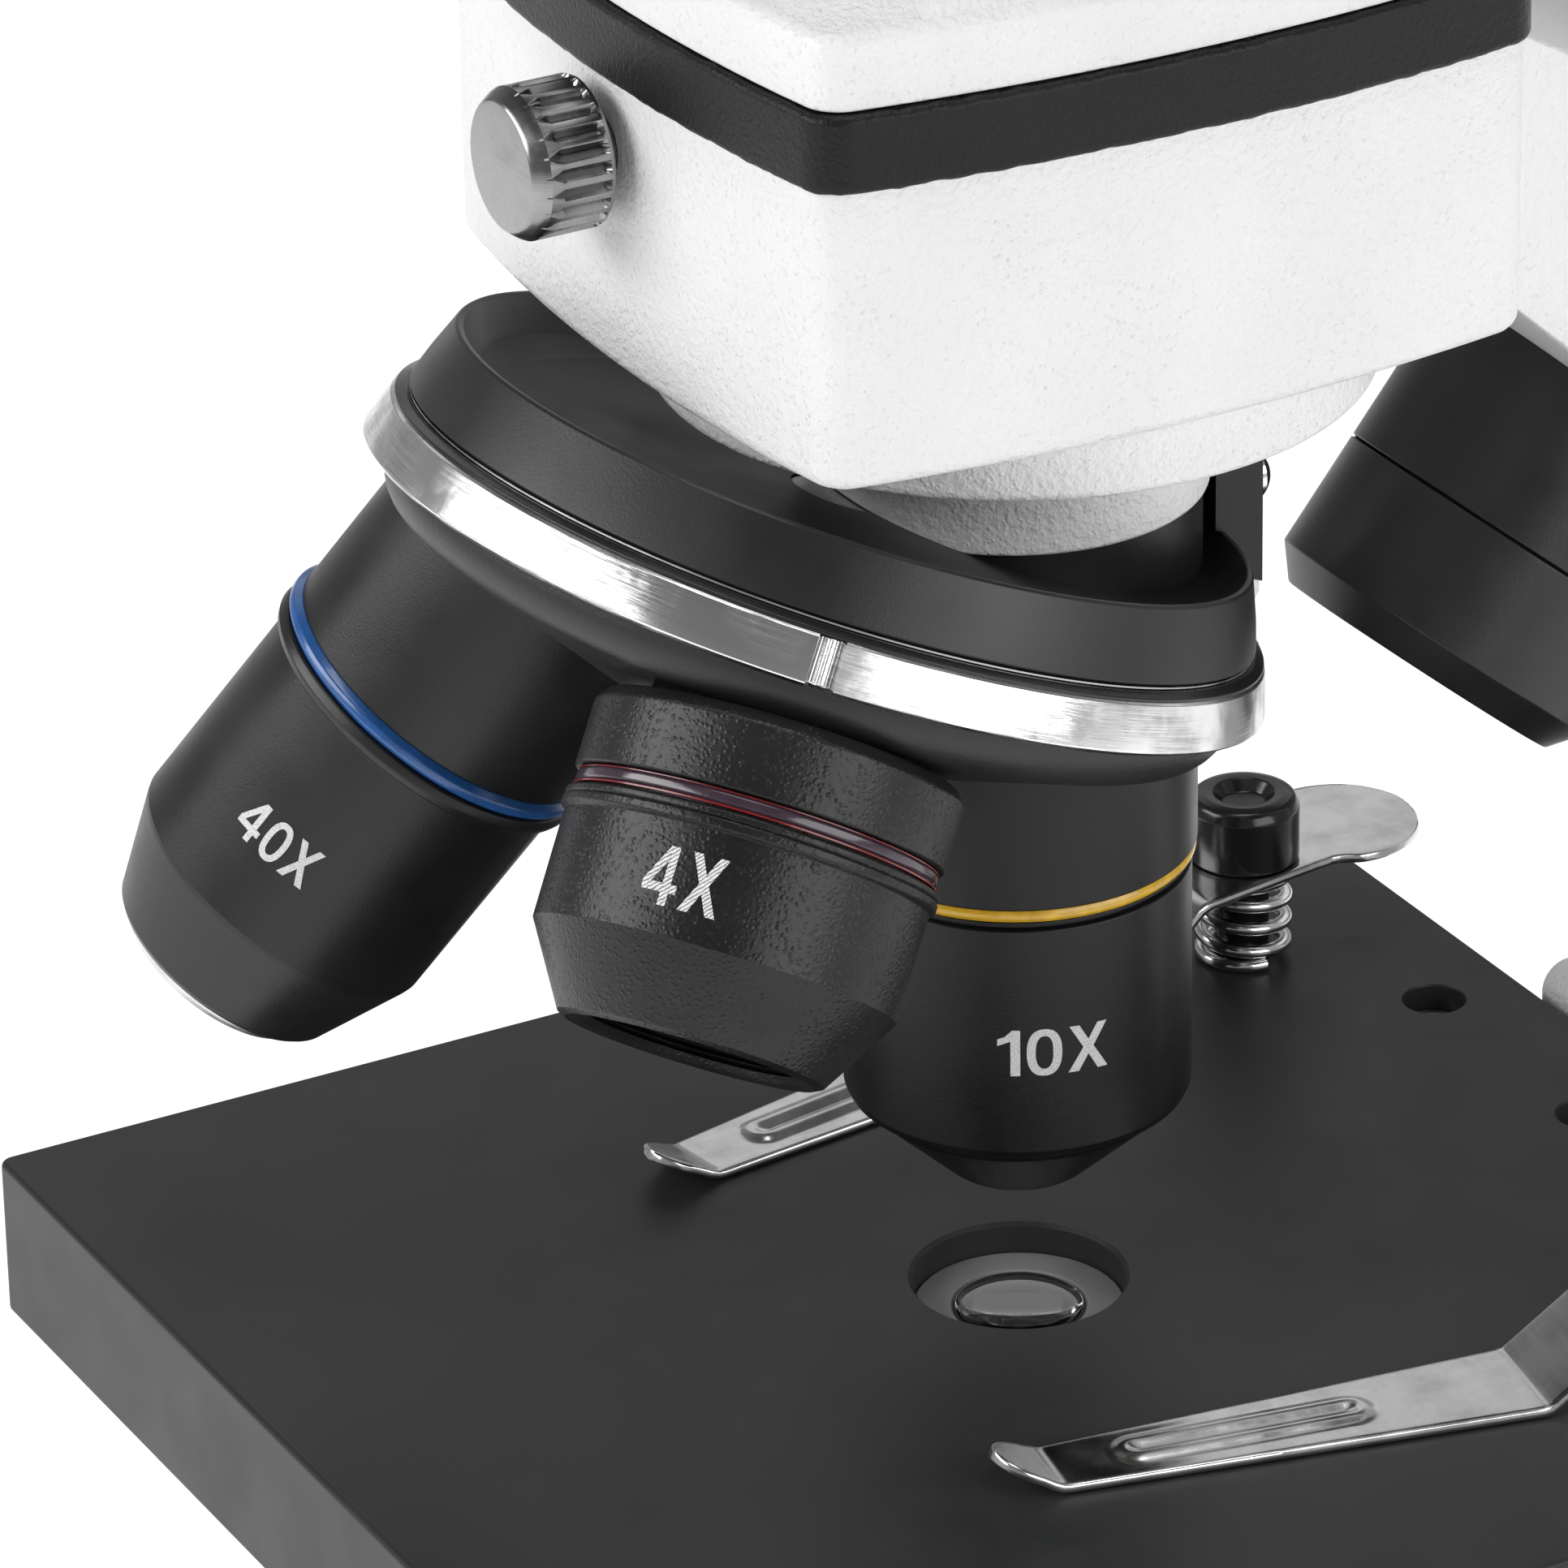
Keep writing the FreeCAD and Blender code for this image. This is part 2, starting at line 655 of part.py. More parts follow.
def objective_4x_ring():
    return station(turned([(10.0, RING_4X[0]), (10.35, RING_4X[0]), (10.35, RING_4X[1]), (10.0, RING_4X[1])]), 1)


def objective_4x_lens():
    return station(domed_lens(5.2, 23.6, 0.9, 0.8), 1)


def objective_10x_lens():
    return domed_lens(2.6, 8.3, 0.8, 0.7)


def objective_40x_lens():
    return station(domed_lens(2.0, 4.1, 0.8, 0.5), 2)


# Upper lamp
def upper_lamp_barrel():
    profile = [
        (8.2, LAMP_FACE),
        (LAMP_FACE_R, LAMP_FACE),
        (LAMP_R, LAMP_FACE + LAMP_CHAMFER),
        (LAMP_R, LAMP_SEAM),
        (8.6, LAMP_SEAM),
        (8.6, LAMP_FACE + 2.6),
        (8.2, LAMP_FACE + 2.6),
    ]
    return lamp_place(turned(profile))


def upper_lamp_collar():
    profile = [(0, LAMP_SEAM), (LAMP_R, LAMP_SEAM), (LAMP_R, LAMP_ROOT), (4.0, LAMP_ROOT), (4.0, LAMP_ROOT + 7), (0, LAMP_ROOT + 7)]
    return lamp_place(turned(profile))


def upper_lamp_lens():
    return lamp_place(domed_lens(8.1, LAMP_FACE + 0.6, 1.0, 1.0))


def upper_led_board():
    return lamp_place(cylinder(8.4, LAMP_SEAM - 3.2, LAMP_SEAM - 1.4).fuse(cylinder(2.5, LAMP_SEAM - 5, LAMP_SEAM - 3.2)))


# Focus
SLIDE_BOTTOM, SLIDE_TOP = -60.0, -12.0
SLIDE_FRONT, SLIDE_REAR = 52.0, 60.2


def focus_slide():
    return box(-SLOT_HALF_WIDTH + 0.1, SLOT_HALF_WIDTH - 0.1, SLIDE_FRONT, SLIDE_REAR, SLIDE_BOTTOM, SLIDE_TOP)


RACK_HALF_WIDTH = 4.0
BACKLASH = 0.16


def focus_rack():
    """A straight rack, with a tooth space centred on the pinion's height."""
    pitch = math.pi * RACK_MODULE
    tip, root = RACK_PITCH_Y + RACK_MODULE, RACK_PITCH_Y - 1.25 * RACK_MODULE
    slope = math.tan(math.radians(20))
    half_pitch_line = pitch / 4 - BACKLASH / 2
    half_tip = half_pitch_line - RACK_MODULE * slope
    half_root = half_pitch_line + 1.25 * RACK_MODULE * slope
    points = [V(0, SLIDE_REAR, SLIDE_BOTTOM + 2)]
    first = math.ceil((SLIDE_BOTTOM + 4 - FOCUS_Z) / pitch)
    last = math.floor((SLIDE_TOP - 10 - FOCUS_Z) / pitch)
    points.append(V(0, root, SLIDE_BOTTOM + 2))
    for tooth in range(first, last):
        middle = FOCUS_Z + (tooth + 0.5) * pitch
        points.append(V(0, root, middle - half_root))
        points.append(V(0, tip, middle - half_tip))
        points.append(V(0, tip, middle + half_tip))
        points.append(V(0, root, middle + half_root))
    points.append(V(0, root, SLIDE_TOP - 8))
    points.append(V(0, SLIDE_REAR, SLIDE_TOP - 8))
    face = Part.Face(Part.makePolygon(points + [points[0]]))
    return face.extrude(V(2 * RACK_HALF_WIDTH, 0, 0)).translated(V(-RACK_HALF_WIDTH, 0, 0))


def involute(angle):
    return math.tan(angle) - angle


def pinion_profile():
    """Involute teeth, one of them pointing at the rack."""
    pressure = math.radians(20)
    base_r = PINION_R * math.cos(pressure)
    tip_r, root_r = PINION_R + RACK_MODULE, PINION_R - 1.2 * RACK_MODULE
    half_tooth = math.pi / (2 * PINION_TEETH) - BACKLASH / (2 * PINION_R)
    flank = []
    for step in range(5):
        r = base_r + (tip_r - base_r) * step / 4
        spread = half_tooth + involute(pressure) - involute(math.acos(base_r / r))
        flank.append((r, spread))
    flank = [(root_r, flank[0][1])] + flank
    points = []
    for tooth in range(PINION_TEETH):
        middle = math.pi + 2 * math.pi * tooth / PINION_TEETH
        for r, spread in flank:
            points.append((r, middle - spread))
        for r, spread in reversed(flank):
            points.append((r, middle + spread))
    return [V(0, FOCUS_Y + r * math.cos(a), FOCUS_Z + r * math.sin(a)) for r, a in points]


def coarse_shaft():
    points = pinion_profile()
    half = RACK_HALF_WIDTH + 1
    pinion = Part.Face(Part.makePolygon(points + [points[0]])).extrude(V(2 * half, 0, 0))
    pinion = pinion.translated(V(-half, 0, 0))
    reach = COARSE_KNOB_OUT - 2
    shaft = cylinder_x(COARSE_SHAFT_R, -reach, reach, FOCUS_Y, FOCUS_Z)
    return pinion.fuse(shaft).cut(cylinder_x(FINE_SHAFT_R + RUNNING, -60, 60, FOCUS_Y, FOCUS_Z))


def knob(r, inner, outer, bore_r, rim):
    """A knob on the X axis with a chamfered rim."""
    body = cylinder_x(r, inner, outer, FOCUS_Y, FOCUS_Z)
    body = body.makeChamfer(rim, [e for e in body.Edges if e.BoundBox.XLength < 0.01])
    return body.cut(cylinder_x(bore_r, inner - 1, outer + 1, FOCUS_Y, FOCUS_Z))


def coarse_knobs():
    body = knob(COARSE_KNOB_R, COARSE_KNOB_IN, COARSE_KNOB_OUT, COARSE_SHAFT_R, 1.2)
    body = body.cut(cylinder_x(FINE_KNOB_R + 1.5, COARSE_KNOB_OUT - 1.6, COARSE_KNOB_OUT + 1, FOCUS_Y, FOCUS_Z))
    return [body, mirrored(body)]


def fine_shaft():
    return cylinder_x(FINE_SHAFT_R, -FINE_KNOB_OUT + 1, FINE_KNOB_OUT - 1, FOCUS_Y, FOCUS_Z)


def fine_knobs():
    body = cylinder_x(FINE_KNOB_R, FINE_KNOB_IN, FINE_KNOB_OUT, FOCUS_Y, FOCUS_Z)
    body = body.makeChamfer(1.0, [e for e in body.Edges if e.BoundBox.XLength < 0.01])
    body = body.cut(cylinder_x(FINE_SHAFT_R, 0, FINE_KNOB_OUT - 1, FOCUS_Y, FOCUS_Z))
    return [body, mirrored(body)]


# Stage
STAGE_SCREWS = [(-18.0, 41.0), (0.0, 41.0), (18.0, 41.0)]
CELL_TOP = -2.0


def stage_plate():
    x, y0, y1 = STAGE_HALF_WIDTH, STAGE_FRONT, STAGE_REAR
    plate = plate_z([(-x, y0, 0.8), (x, y0, 0.8), (x, y1, 0.8), (-x, y1, 0.8)], -STAGE_THICKNESS, 0)
    top = [e for e in plate.Edges if e.BoundBox.ZMin > -0.01]
    plate = plate.makeChamfer(0.25, top)
    plate = plate.cut(cylinder(APERTURE_R, -STAGE_THICKNESS - 1, 1))
    for x, y in STAGE_SCREWS:
        plate = plate.cut(cylinder(1.9, -6.5, 1, x, y)).cut(cylinder(1.2, -20, 0, x, y))
    for side in (-1, 1):
        plate = plate.cut(cylinder(CLIP_PIN_R, -20, 1, side * CLIP_PIVOT[0], CLIP_PIVOT[1]))
    return plate.cut(cylinder(1.5, -20, -STAGE_THICKNESS + 6, 0, DISC_PIVOT_Y))


def stage_screws():
    head = cylinder(1.8, -6.5, -1.6).cut(cylinder(0.9, -2.8, 0))
    screw = head.fuse(cylinder(1.2, -15, -6.5))
    return [screw.translated(V(x, y, 0)) for x, y in STAGE_SCREWS]


def stage_bracket():
    """A shelf under the stage, and an upright that bolts to the focus slide through the arm's slot."""
    shelf = box(-24, 24, 12, 47.1, -STAGE_THICKNESS - 6, -STAGE_THICKNESS)
    shelf = shelf.cut(cylinder(DISC_R + 1, -30, 0, 0, DISC_PIVOT_Y))
    upright = box(-SLOT_HALF_WIDTH + 0.4, SLOT_HALF_WIDTH - 0.4, 40, SLIDE_FRONT - 0.1, -44, -STAGE_THICKNESS - 6)
    gusset = plate_x([(20, -STAGE_THICKNESS - 6, 0), (40, -STAGE_THICKNESS - 6, 0), (40, -40, 0)], 4)
    body = shelf.fuse(upright).fuse(gusset)
    for x, y in STAGE_SCREWS:
        body = body.cut(cylinder(1.2, -15, 0, x, y))
    return body


def condenser_ring():
    profile = [(3.6, -STAGE_THICKNESS), (APERTURE_R, -STAGE_THICKNESS), (APERTURE_R, CELL_TOP), (4.2, CELL_TOP), (4.0, CELL_TOP - 0.2)]
    profile += [(4.0, CELL_TOP - 1.6), (3.6, CELL_TOP - 1.6)]
    return turned(profile)


def condenser_lens():
    return domed_lens(4.0, CELL_TOP - 1.6, 1.4, 0.9)


def diaphragm_pivot():
    shank = cylinder(1.5, DISC_TOP - DISC_SHEET - 0.4, -STAGE_THICKNESS + 5, 0, DISC_PIVOT_Y)
    head = cylinder(3.4, DISC_TOP - DISC_SHEET - 2.0, DISC_TOP - DISC_SHEET - 0.2, 0, DISC_PIVOT_Y)
    return head.fuse(shank)


def diaphragm_disc():
    disc = cylinder(DISC_R, DISC_TOP - DISC_SHEET, DISC_TOP, 0, DISC_PIVOT_Y)
    disc = disc.cut(cylinder(1.5 + RUNNING, -20, 0, 0, DISC_PIVOT_Y))
    for index, r in enumerate((5.0, 4.0, 3.0, 2.0, 1.2)):
        hole = cylinder(r, -20, 0)
        disc = disc.cut(turn_about(hole, V(0, DISC_PIVOT_Y, 0), Z_AXIS, 72 * index))
    return disc


# Clips
def clip_post():
    cap_bottom = CLIP_LEVEL + CLIP_SHEET + 0.05
    cap = turned([
        (0, cap_bottom),
        (CLIP_CAP_R, cap_bottom),
        (CLIP_CAP_R, CLIP_CAP_TOP - 0.9),
        (CLIP_CAP_R - 0.9, CLIP_CAP_TOP),
        (2.0, CLIP_CAP_TOP),
        (1.4, CLIP_CAP_TOP - 0.8),
        (0, CLIP_CAP_TOP - 1.0),
    ])
    pin = cylinder(CLIP_PIN_R - 0.02, -8, cap_bottom)
    return cap.fuse(pin).translated(V(CLIP_PIVOT[0], CLIP_PIVOT[1], 0))


def clip_posts():
    post = clip_post()
    return [post, mirrored(post)]


def clip_spring():
    tube = cylinder(CLIP_SPRING_R, 0.05, CLIP_LEVEL - 0.05).cut(cylinder(CLIP_SPRING_R - 0.7, -1, 9))
    return tube.translated(V(CLIP_PIVOT[0], CLIP_PIVOT[1], 0))


CLIP_TIP, CLIP_TIP_HALF = -48.8, 2.1
CLIP_ROOT, CLIP_ROOT_HALF = -14.9, 3.85


def clip_blade():
    """A springy strip drawn along -Y from its pivot: a curled tip, a tapered flat, a step up and a round tail."""
    flat = 0.1
    underside = [(5.0, CLIP_LEVEL), (-6.4, CLIP_LEVEL), (CLIP_ROOT, flat), (-45.0, flat), (CLIP_TIP, 2.0)]
    strip = bent_strip(underside, CLIP_SHEET, 6.0, 0.8)
    plan = [
        (-CLIP_TIP_HALF, CLIP_TIP + 0.1, 1.6),
        (CLIP_TIP_HALF, CLIP_TIP + 0.1, 1.6),
        (CLIP_ROOT_HALF, CLIP_ROOT, 0),
        (CLIP_ROOT_HALF, 6.0, 0),
        (-CLIP_ROOT_HALF, 6.0, 0),
        (-CLIP_ROOT_HALF, CLIP_ROOT, 0),
    ]
    strip = strip.common(plate_z(plan, -1, 12))
    tail = cylinder(5.4, CLIP_LEVEL, CLIP_LEVEL + CLIP_SHEET, 0, 7.9)
    blade = strip.fuse(tail).cut(cylinder(CLIP_PIN_R + 0.6, 0, 10))
    blade = turn_about(blade, ORIGIN, Z_AXIS, -CLIP_TURN)
    return blade.translated(V(CLIP_PIVOT[0], CLIP_PIVOT[1], 0))


# Monocular head
HEAD_BASE_BOTTOM = BAND_TOP + 0.3
HEAD_RIDGE = 92.3
HEAD_ROOF = 98.5


def roof(z0, z1, shrink):
    """The low sloping roof between the head's edge and its prism housing."""
    low, high = head_outline(z0), head_outline(z1, -shrink)
    return Part.makeLoft([low, high], True, True)


def prism_housing():
    """The housing that leans back to carry the eyepiece tube."""
    face_y, face_z = 15.6, TUBE_PIVOT_Z + 15.6
    corners = [
        (-17.0, HEAD_ROOF - 4, 0),
        (-15.0, 102.0, 3),
        (face_y - 11.0, face_z + 11.0, 4),
        (face_y + 10.2, face_z - 10.2, 4),
        (19.0, HEAD_ROOF - 4, 0),
    ]
    body = plate_x(corners, 15.2)
    edges = [e for e in body.Edges if e.BoundBox.XLength < 0.01 and e.BoundBox.ZMax > HEAD_ROOF]
    return body.makeFillet(2.5, edges)


def monocular_head():
    base = head_slab(HEAD_BASE_BOTTOM, HEAD_RIDGE)
    body = base.fuse(roof(HEAD_RIDGE, HEAD_ROOF, 9.0)).fuse(prism_housing())
    body = body.fuse(tube_place(cylinder(15.0, 18.0, TUBE_START + 2)))
    body = body.fuse(cylinder(DOVETAIL_R, DOVETAIL_BOTTOM, HEAD_BASE_BOTTOM + 1))
    body = body.cut(cylinder(LIGHT_PATH_R, 70, TUBE_PIVOT_Z))
    body = body.cut(prism_room())
    return body.cut(tube_place(cylinder(TUBE_R, TUBE_START - 6, 60))).cut(tube_place(cylinder(9.0, 0, 40)))


def prism_outline(grow):
    """Side outline of the prism: light enters below and leaves through the face towards the tube."""
    corners = [(-8.0, -9.0), (8.0, -9.0), (8.0, 1.5), (1.0, 8.5), (-3.0, 8.5), (-8.0, 0.0)]
    scale = 1 + grow / 8
    return [(y * scale, TUBE_PIVOT_Z + z * scale, 0) for y, z in corners]


def prism_room():
    return plate_x(prism_outline(0.2), 9.7)


def head_prism():
    return plate_x(prism_outline(0.0), 9.5)


def eyepiece_tube():
    tube = cylinder(TUBE_R, TUBE_START - 6, TUBE_END).cut(cylinder(TUBE_BORE, TUBE_START - 4, TUBE_END + 1))
    return tube_place(tube.cut(cylinder(9.0, 0, TUBE_END)))


def eyepiece_body():
    profile = [
        (10.3, TUBE_END - 26),
        (TUBE_BORE - RUNNING, TUBE_END - 26),
        (TUBE_BORE - RUNNING, TUBE_END + 0.2),
        (14.0, TUBE_END + 0.2),
        (14.4, TUBE_END + 0.8),
        (14.4, TUBE_END + 11),
        (13.6, TUBE_END + 12),
        (13.0, EYEPIECE_TOP - 3),
        (12.0, EYEPIECE_TOP),
        (9.6, EYEPIECE_TOP),
        (9.0, EYEPIECE_TOP - 2),
        (9.0, TUBE_END + 9),
        (10.3, TUBE_END + 6),
    ]
    return tube_place(turned(profile))


def eyepiece_lenses():
    eye = domed_lens(8.9, EYEPIECE_TOP - 8.0, 2.0, 1.8)
    field = domed_lens(10.2, TUBE_END - 24.0, 1.5, 2.2)
    return [tube_place(eye), tube_place(field)]


def main():
    save("base_casting", base_casting())
    save("bottom_plate", bottom_plate())
    save("bottom_plate_screws", *bottom_plate_screws())
    save("rubber_feet", *rubber_feet())
    save("lower_lamp_housing", lower_lamp_housing())
    save("lower_lamp_lens", lower_lamp_lens())
    save("lower_led_board", lower_led_board())
    save("power_jack", power_jack())
    save("rocker_switch", rocker_switch())
    save("arm", arm())
    save("arm_bolts", *arm_bolts())
    save("focus_bushings", *focus_bushings())
    save("head_block", head_block())
    save("head_band", head_band())
    save("head_lock_screw", head_lock_screw())
    save("nosepiece_cup", nosepiece_cup())
    save("nosepiece_spacer_ring", nosepiece_spacer_ring())
    save("nosepiece_pivot", nosepiece_pivot())
    save("nosepiece_turret", nosepiece_turret())
    save("nosepiece_ring", nosepiece_ring())
    save("detent_bracket", detent_bracket())
    save("detent_spring", detent_spring())
    save("detent_screws", *detent_screws())
    save("objective_4x_barrel", objective_4x_barrel())
    save("objective_4x_ring", objective_4x_ring())
    save("objective_4x_lens", objective_4x_lens())
    save("objective_10x_barrel", objective_10x_barrel())
    save("objective_10x_ring", colour_ring(RING_10X, 10.6, 0))
    save("objective_10x_lens", objective_10x_lens())
    save("objective_40x_barrel", objective_40x_barrel())
    save("objective_40x_ring", colour_ring(RING_40X, 10.5, 2))
    save("objective_40x_nose", objective_40x_nose())
    save("objective_40x_lens", objective_40x_lens())
    save("upper_lamp_barrel", upper_lamp_barrel())
    save("upper_lamp_collar", upper_lamp_collar())
    save("upper_lamp_lens", upper_lamp_lens())
    save("upper_led_board", upper_led_board())
    save("focus_slide", focus_slide())
    save("focus_rack", focus_rack())
    save("coarse_shaft", coarse_shaft())
    save("coarse_knobs", *coarse_knobs())
    save("fine_shaft", fine_shaft())
    save("fine_knobs", *fine_knobs())
    save("stage_plate", stage_plate())
    save("stage_bracket", stage_bracket())
    save("stage_screws", *stage_screws())
    save("condenser_ring", condenser_ring())
    save("condenser_lens", condenser_lens())
    save("diaphragm_pivot", diaphragm_pivot())
    save("diaphragm_disc", diaphragm_disc())
    save("clip_posts", *clip_posts())
    right_spring, right_blade = clip_spring(), clip_blade()
    save("clip_spring_right", right_spring)
    save("clip_spring_left", mirrored(right_spring))
    save("clip_right", right_blade)
    save("clip_left", mirrored(right_blade))
    save("monocular_head", monocular_head())
    save("head_prism", head_prism())
    save("eyepiece_tube", eyepiece_tube())
    save("eyepiece_body", eyepiece_body())
    save("eyepiece_lenses", *eyepiece_lenses())


main()
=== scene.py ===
import json
import math

import bmesh
import bpy
from mathutils import Matrix, Vector, noise


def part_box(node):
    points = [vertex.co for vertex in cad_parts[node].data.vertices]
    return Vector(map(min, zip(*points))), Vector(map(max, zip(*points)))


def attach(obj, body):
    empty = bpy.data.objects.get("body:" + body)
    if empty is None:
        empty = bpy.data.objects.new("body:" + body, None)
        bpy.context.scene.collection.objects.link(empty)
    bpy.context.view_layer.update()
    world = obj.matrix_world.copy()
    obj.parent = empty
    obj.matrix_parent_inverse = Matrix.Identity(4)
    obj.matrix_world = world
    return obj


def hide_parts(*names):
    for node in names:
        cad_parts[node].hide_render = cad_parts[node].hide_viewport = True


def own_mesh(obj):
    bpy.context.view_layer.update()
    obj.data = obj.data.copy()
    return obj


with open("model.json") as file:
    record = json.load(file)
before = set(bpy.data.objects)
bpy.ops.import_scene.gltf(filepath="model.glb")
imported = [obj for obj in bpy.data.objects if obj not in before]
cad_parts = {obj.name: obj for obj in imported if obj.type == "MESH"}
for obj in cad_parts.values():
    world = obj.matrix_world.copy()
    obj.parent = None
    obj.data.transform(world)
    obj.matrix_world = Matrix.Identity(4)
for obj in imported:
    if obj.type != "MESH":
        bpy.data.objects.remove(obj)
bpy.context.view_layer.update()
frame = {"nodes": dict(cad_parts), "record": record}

# Sizes below are in millimetres about the optical axis, with z = 0 on the top face of the stage
# and +Y towards the arm.
NODES = frame["nodes"]
LENS_LOW, LENS_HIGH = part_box("objective_10x_lens")
STAGE_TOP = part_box("stage_plate")[1][2]
AXIS = Vector(((LENS_LOW[0] + LENS_HIGH[0]) / 2, (LENS_LOW[1] + LENS_HIGH[1]) / 2, STAGE_TOP))
MM = 0.001
WELD = 1e-4
TO_ROW = Matrix.Translation(AXIS) @ Matrix.Scale(MM, 4)
HERE = Matrix.Identity(4)


def about_x(degrees):
    return Matrix.Rotation(math.radians(degrees), 4, "X")


def about_z(degrees):
    return Matrix.Rotation(math.radians(degrees), 4, "Z")


def move(x, y, z):
    return Matrix.Translation((x, y, z))


TILT = 21.7
SLOPE = math.tan(math.radians(TILT))
TURRET = move(0, -13.3, 50) @ about_x(-TILT)
CONE_RADIUS = 25.9
TURRET_WALL = 2.3
LAMP = about_x(-39.2)
TUBE = move(0, 0, 102) @ about_x(-45)
ALONG_X = Matrix.Rotation(math.radians(90), 4, "Y")
FOCUS = move(0, 67.9, -50)
LOCK_HEIGHT = 79.2
LOCK_SCREW = move(0, -32.6, LOCK_HEIGHT) @ about_x(-90)
STAGE_SCREWS = [move(x, 41.0, 0) for x in (-18.0, 0.0, 18.0)]
FIGURES_4X_ANGLE = 68.4
POSTS = {"left": move(-29.7, 33.8, 0), "right": move(29.7, 33.8, 0)}
# Stands a plan drawn as (y, z), with its thickness along z, up across the X axis.
SIDEWAYS = Matrix(((0, 0, 1, 0), (1, 0, 0, 0), (0, 1, 0, 0), (0, 0, 0, 1)))


def station(index):
    """From an objective drawn on the optical axis to its place on the nosepiece."""
    return TURRET @ about_z(-120 * index) @ TURRET.inverted()


def show(thing):
    bpy.context.scene.collection.objects.link(thing)
    return thing


# Materials
def shade(colour, factor):
    return tuple(c * factor for c in colour)


def blacks(dark, light):
    """A dark and a lighter black, each with a trace of blue."""
    return (dark, dark, dark + 0.001), (light, light, light + 0.001)


class Nodes:
    """A small helper for one material's node tree, with coordinates in millimetres."""

    def __init__(self, name):
        self.material = bpy.data.materials.new(name)
        self.material.use_nodes = True
        self.tree = self.material.node_tree
        self.bsdf = self.tree.nodes["Principled BSDF"]

    def add(self, kind, **inputs):
        node = self.tree.nodes.new(kind)
        for key, value in inputs.items():
            node.inputs[key.replace("_", " ")].default_value = value
        return node

    def link(self, out, into):
        self.tree.links.new(out, into)

    def coords(self, place=HERE, stretch=(1, 1, 1)):
        """Position in millimetres in the frame of place, stretched by stretch."""
        source = self.add("ShaderNodeTexCoord").outputs["Object"]
        local = self.add("ShaderNodeMapping")
        local.vector_type = "TEXTURE"
        location, rotation, _ = (TO_ROW @ place).decompose()
        local.inputs["Location"].default_value = location
        local.inputs["Rotation"].default_value = rotation.to_euler()
        local.inputs["Scale"].default_value = (MM, MM, MM)
        self.link(source, local.inputs["Vector"])
        scaled = self.add("ShaderNodeMapping")
        scaled.inputs["Scale"].default_value = stretch
        self.link(local.outputs["Vector"], scaled.inputs["Vector"])
        return scaled.outputs["Vector"]

    def noise(self, vector, scale, detail=3.0, roughness=0.5):
        node = self.add("ShaderNodeTexNoise", Scale=scale, Detail=detail, Roughness=roughness)
        self.link(vector, node.inputs["Vector"])
        return node.outputs["Fac"]

    def voronoi(self, vector, scale):
        node = self.add("ShaderNodeTexVoronoi", Scale=scale)
        self.link(vector, node.inputs["Vector"])
        return node.outputs["Distance"]

    def ramp(self, factor, stops):
        node = self.add("ShaderNodeValToRGB")
        elements = node.color_ramp.elements
        while len(elements) < len(stops):
            elements.new(0.5)
        for element, (position, value) in zip(elements, stops):
            element.position = position
            colour = value if isinstance(value, tuple) else (value, value, value)
            element.color = (*colour, 1)
        self.link(factor, node.inputs["Fac"])
        return node.outputs["Color"]

    def remap(self, factor, low, high, to_low, to_high):
        node = self.add("ShaderNodeMapRange")
        for key, value in (("From Min", low), ("From Max", high), ("To Min", to_low), ("To Max", to_high)):
            node.inputs[key].default_value = value
        self.link(factor, node.inputs["Value"])
        return node.outputs["Result"]

    def maths(self, operation, a, b):
        node = self.add("ShaderNodeMath")
        node.operation = operation
        for socket, value in zip(node.inputs, (a, b)):
            if isinstance(value, (int, float)):
                socket.default_value = value
            else:
                self.link(value, socket)
        return node.outputs[0]

    def times(self, a, b):
        return self.maths("MULTIPLY", a, b)

    def plus(self, a, b):
        return self.maths("ADD", a, b)

    def blend(self, factor, a, b):
        node = self.add("ShaderNodeMix")
        node.data_type = "RGBA"
        self.link(factor, node.inputs["Factor"])
        for socket, value in ((node.inputs[6], a), (node.inputs[7], b)):
            if isinstance(value, tuple):
                socket.default_value = (*value, 1)
            else:
                self.link(value, socket)
        return node.outputs[2]

    def bump(self, height, depth):
        """Relief of about depth millimetres."""
        node = self.add("ShaderNodeBump", Strength=1.0, Distance=depth * MM)
        self.link(height, node.inputs["Height"])
        return node.outputs["Normal"]

    def done(self, colour=None, rough=None, normal=None, **fixed):
        for key, value in fixed.items():
            self.bsdf.inputs[key.replace("_", " ")].default_value = value
        for key, value in (("Base Color", colour), ("Roughness", rough), ("Normal", normal)):
            if value is None:
                continue
            if isinstance(value, (tuple, float)):
                self.bsdf.inputs[key].default_value = (*value, 1) if isinstance(value, tuple) else value
            else:
                self.link(value, self.bsdf.inputs[key])
        return self.material


def enamel(name, dark, light, grain, depth, rough, specular=0.5):
    """Textured paint: a fine orange peel over a faint cloudy variation."""
    m = Nodes(name)
    at = m.coords()
    cloud = m.noise(at, 0.09, 3)
    fine = m.noise(at, grain, 3, 0.6)
    pores = m.ramp(m.voronoi(at, grain * 0.55), [(0.0, 0.25), (0.16, 1.0)])
    height = m.times(fine, pores)
    colour = m.ramp(m.plus(m.times(cloud, 0.7), m.times(fine, 0.3)), [(0.3, dark), (0.7, light)])
    return m.done(
        colour, m.remap(cloud, 0.3, 0.7, rough - 0.05, rough + 0.05), m.bump(height, depth),
        Specular_IOR_Level=specular
    )


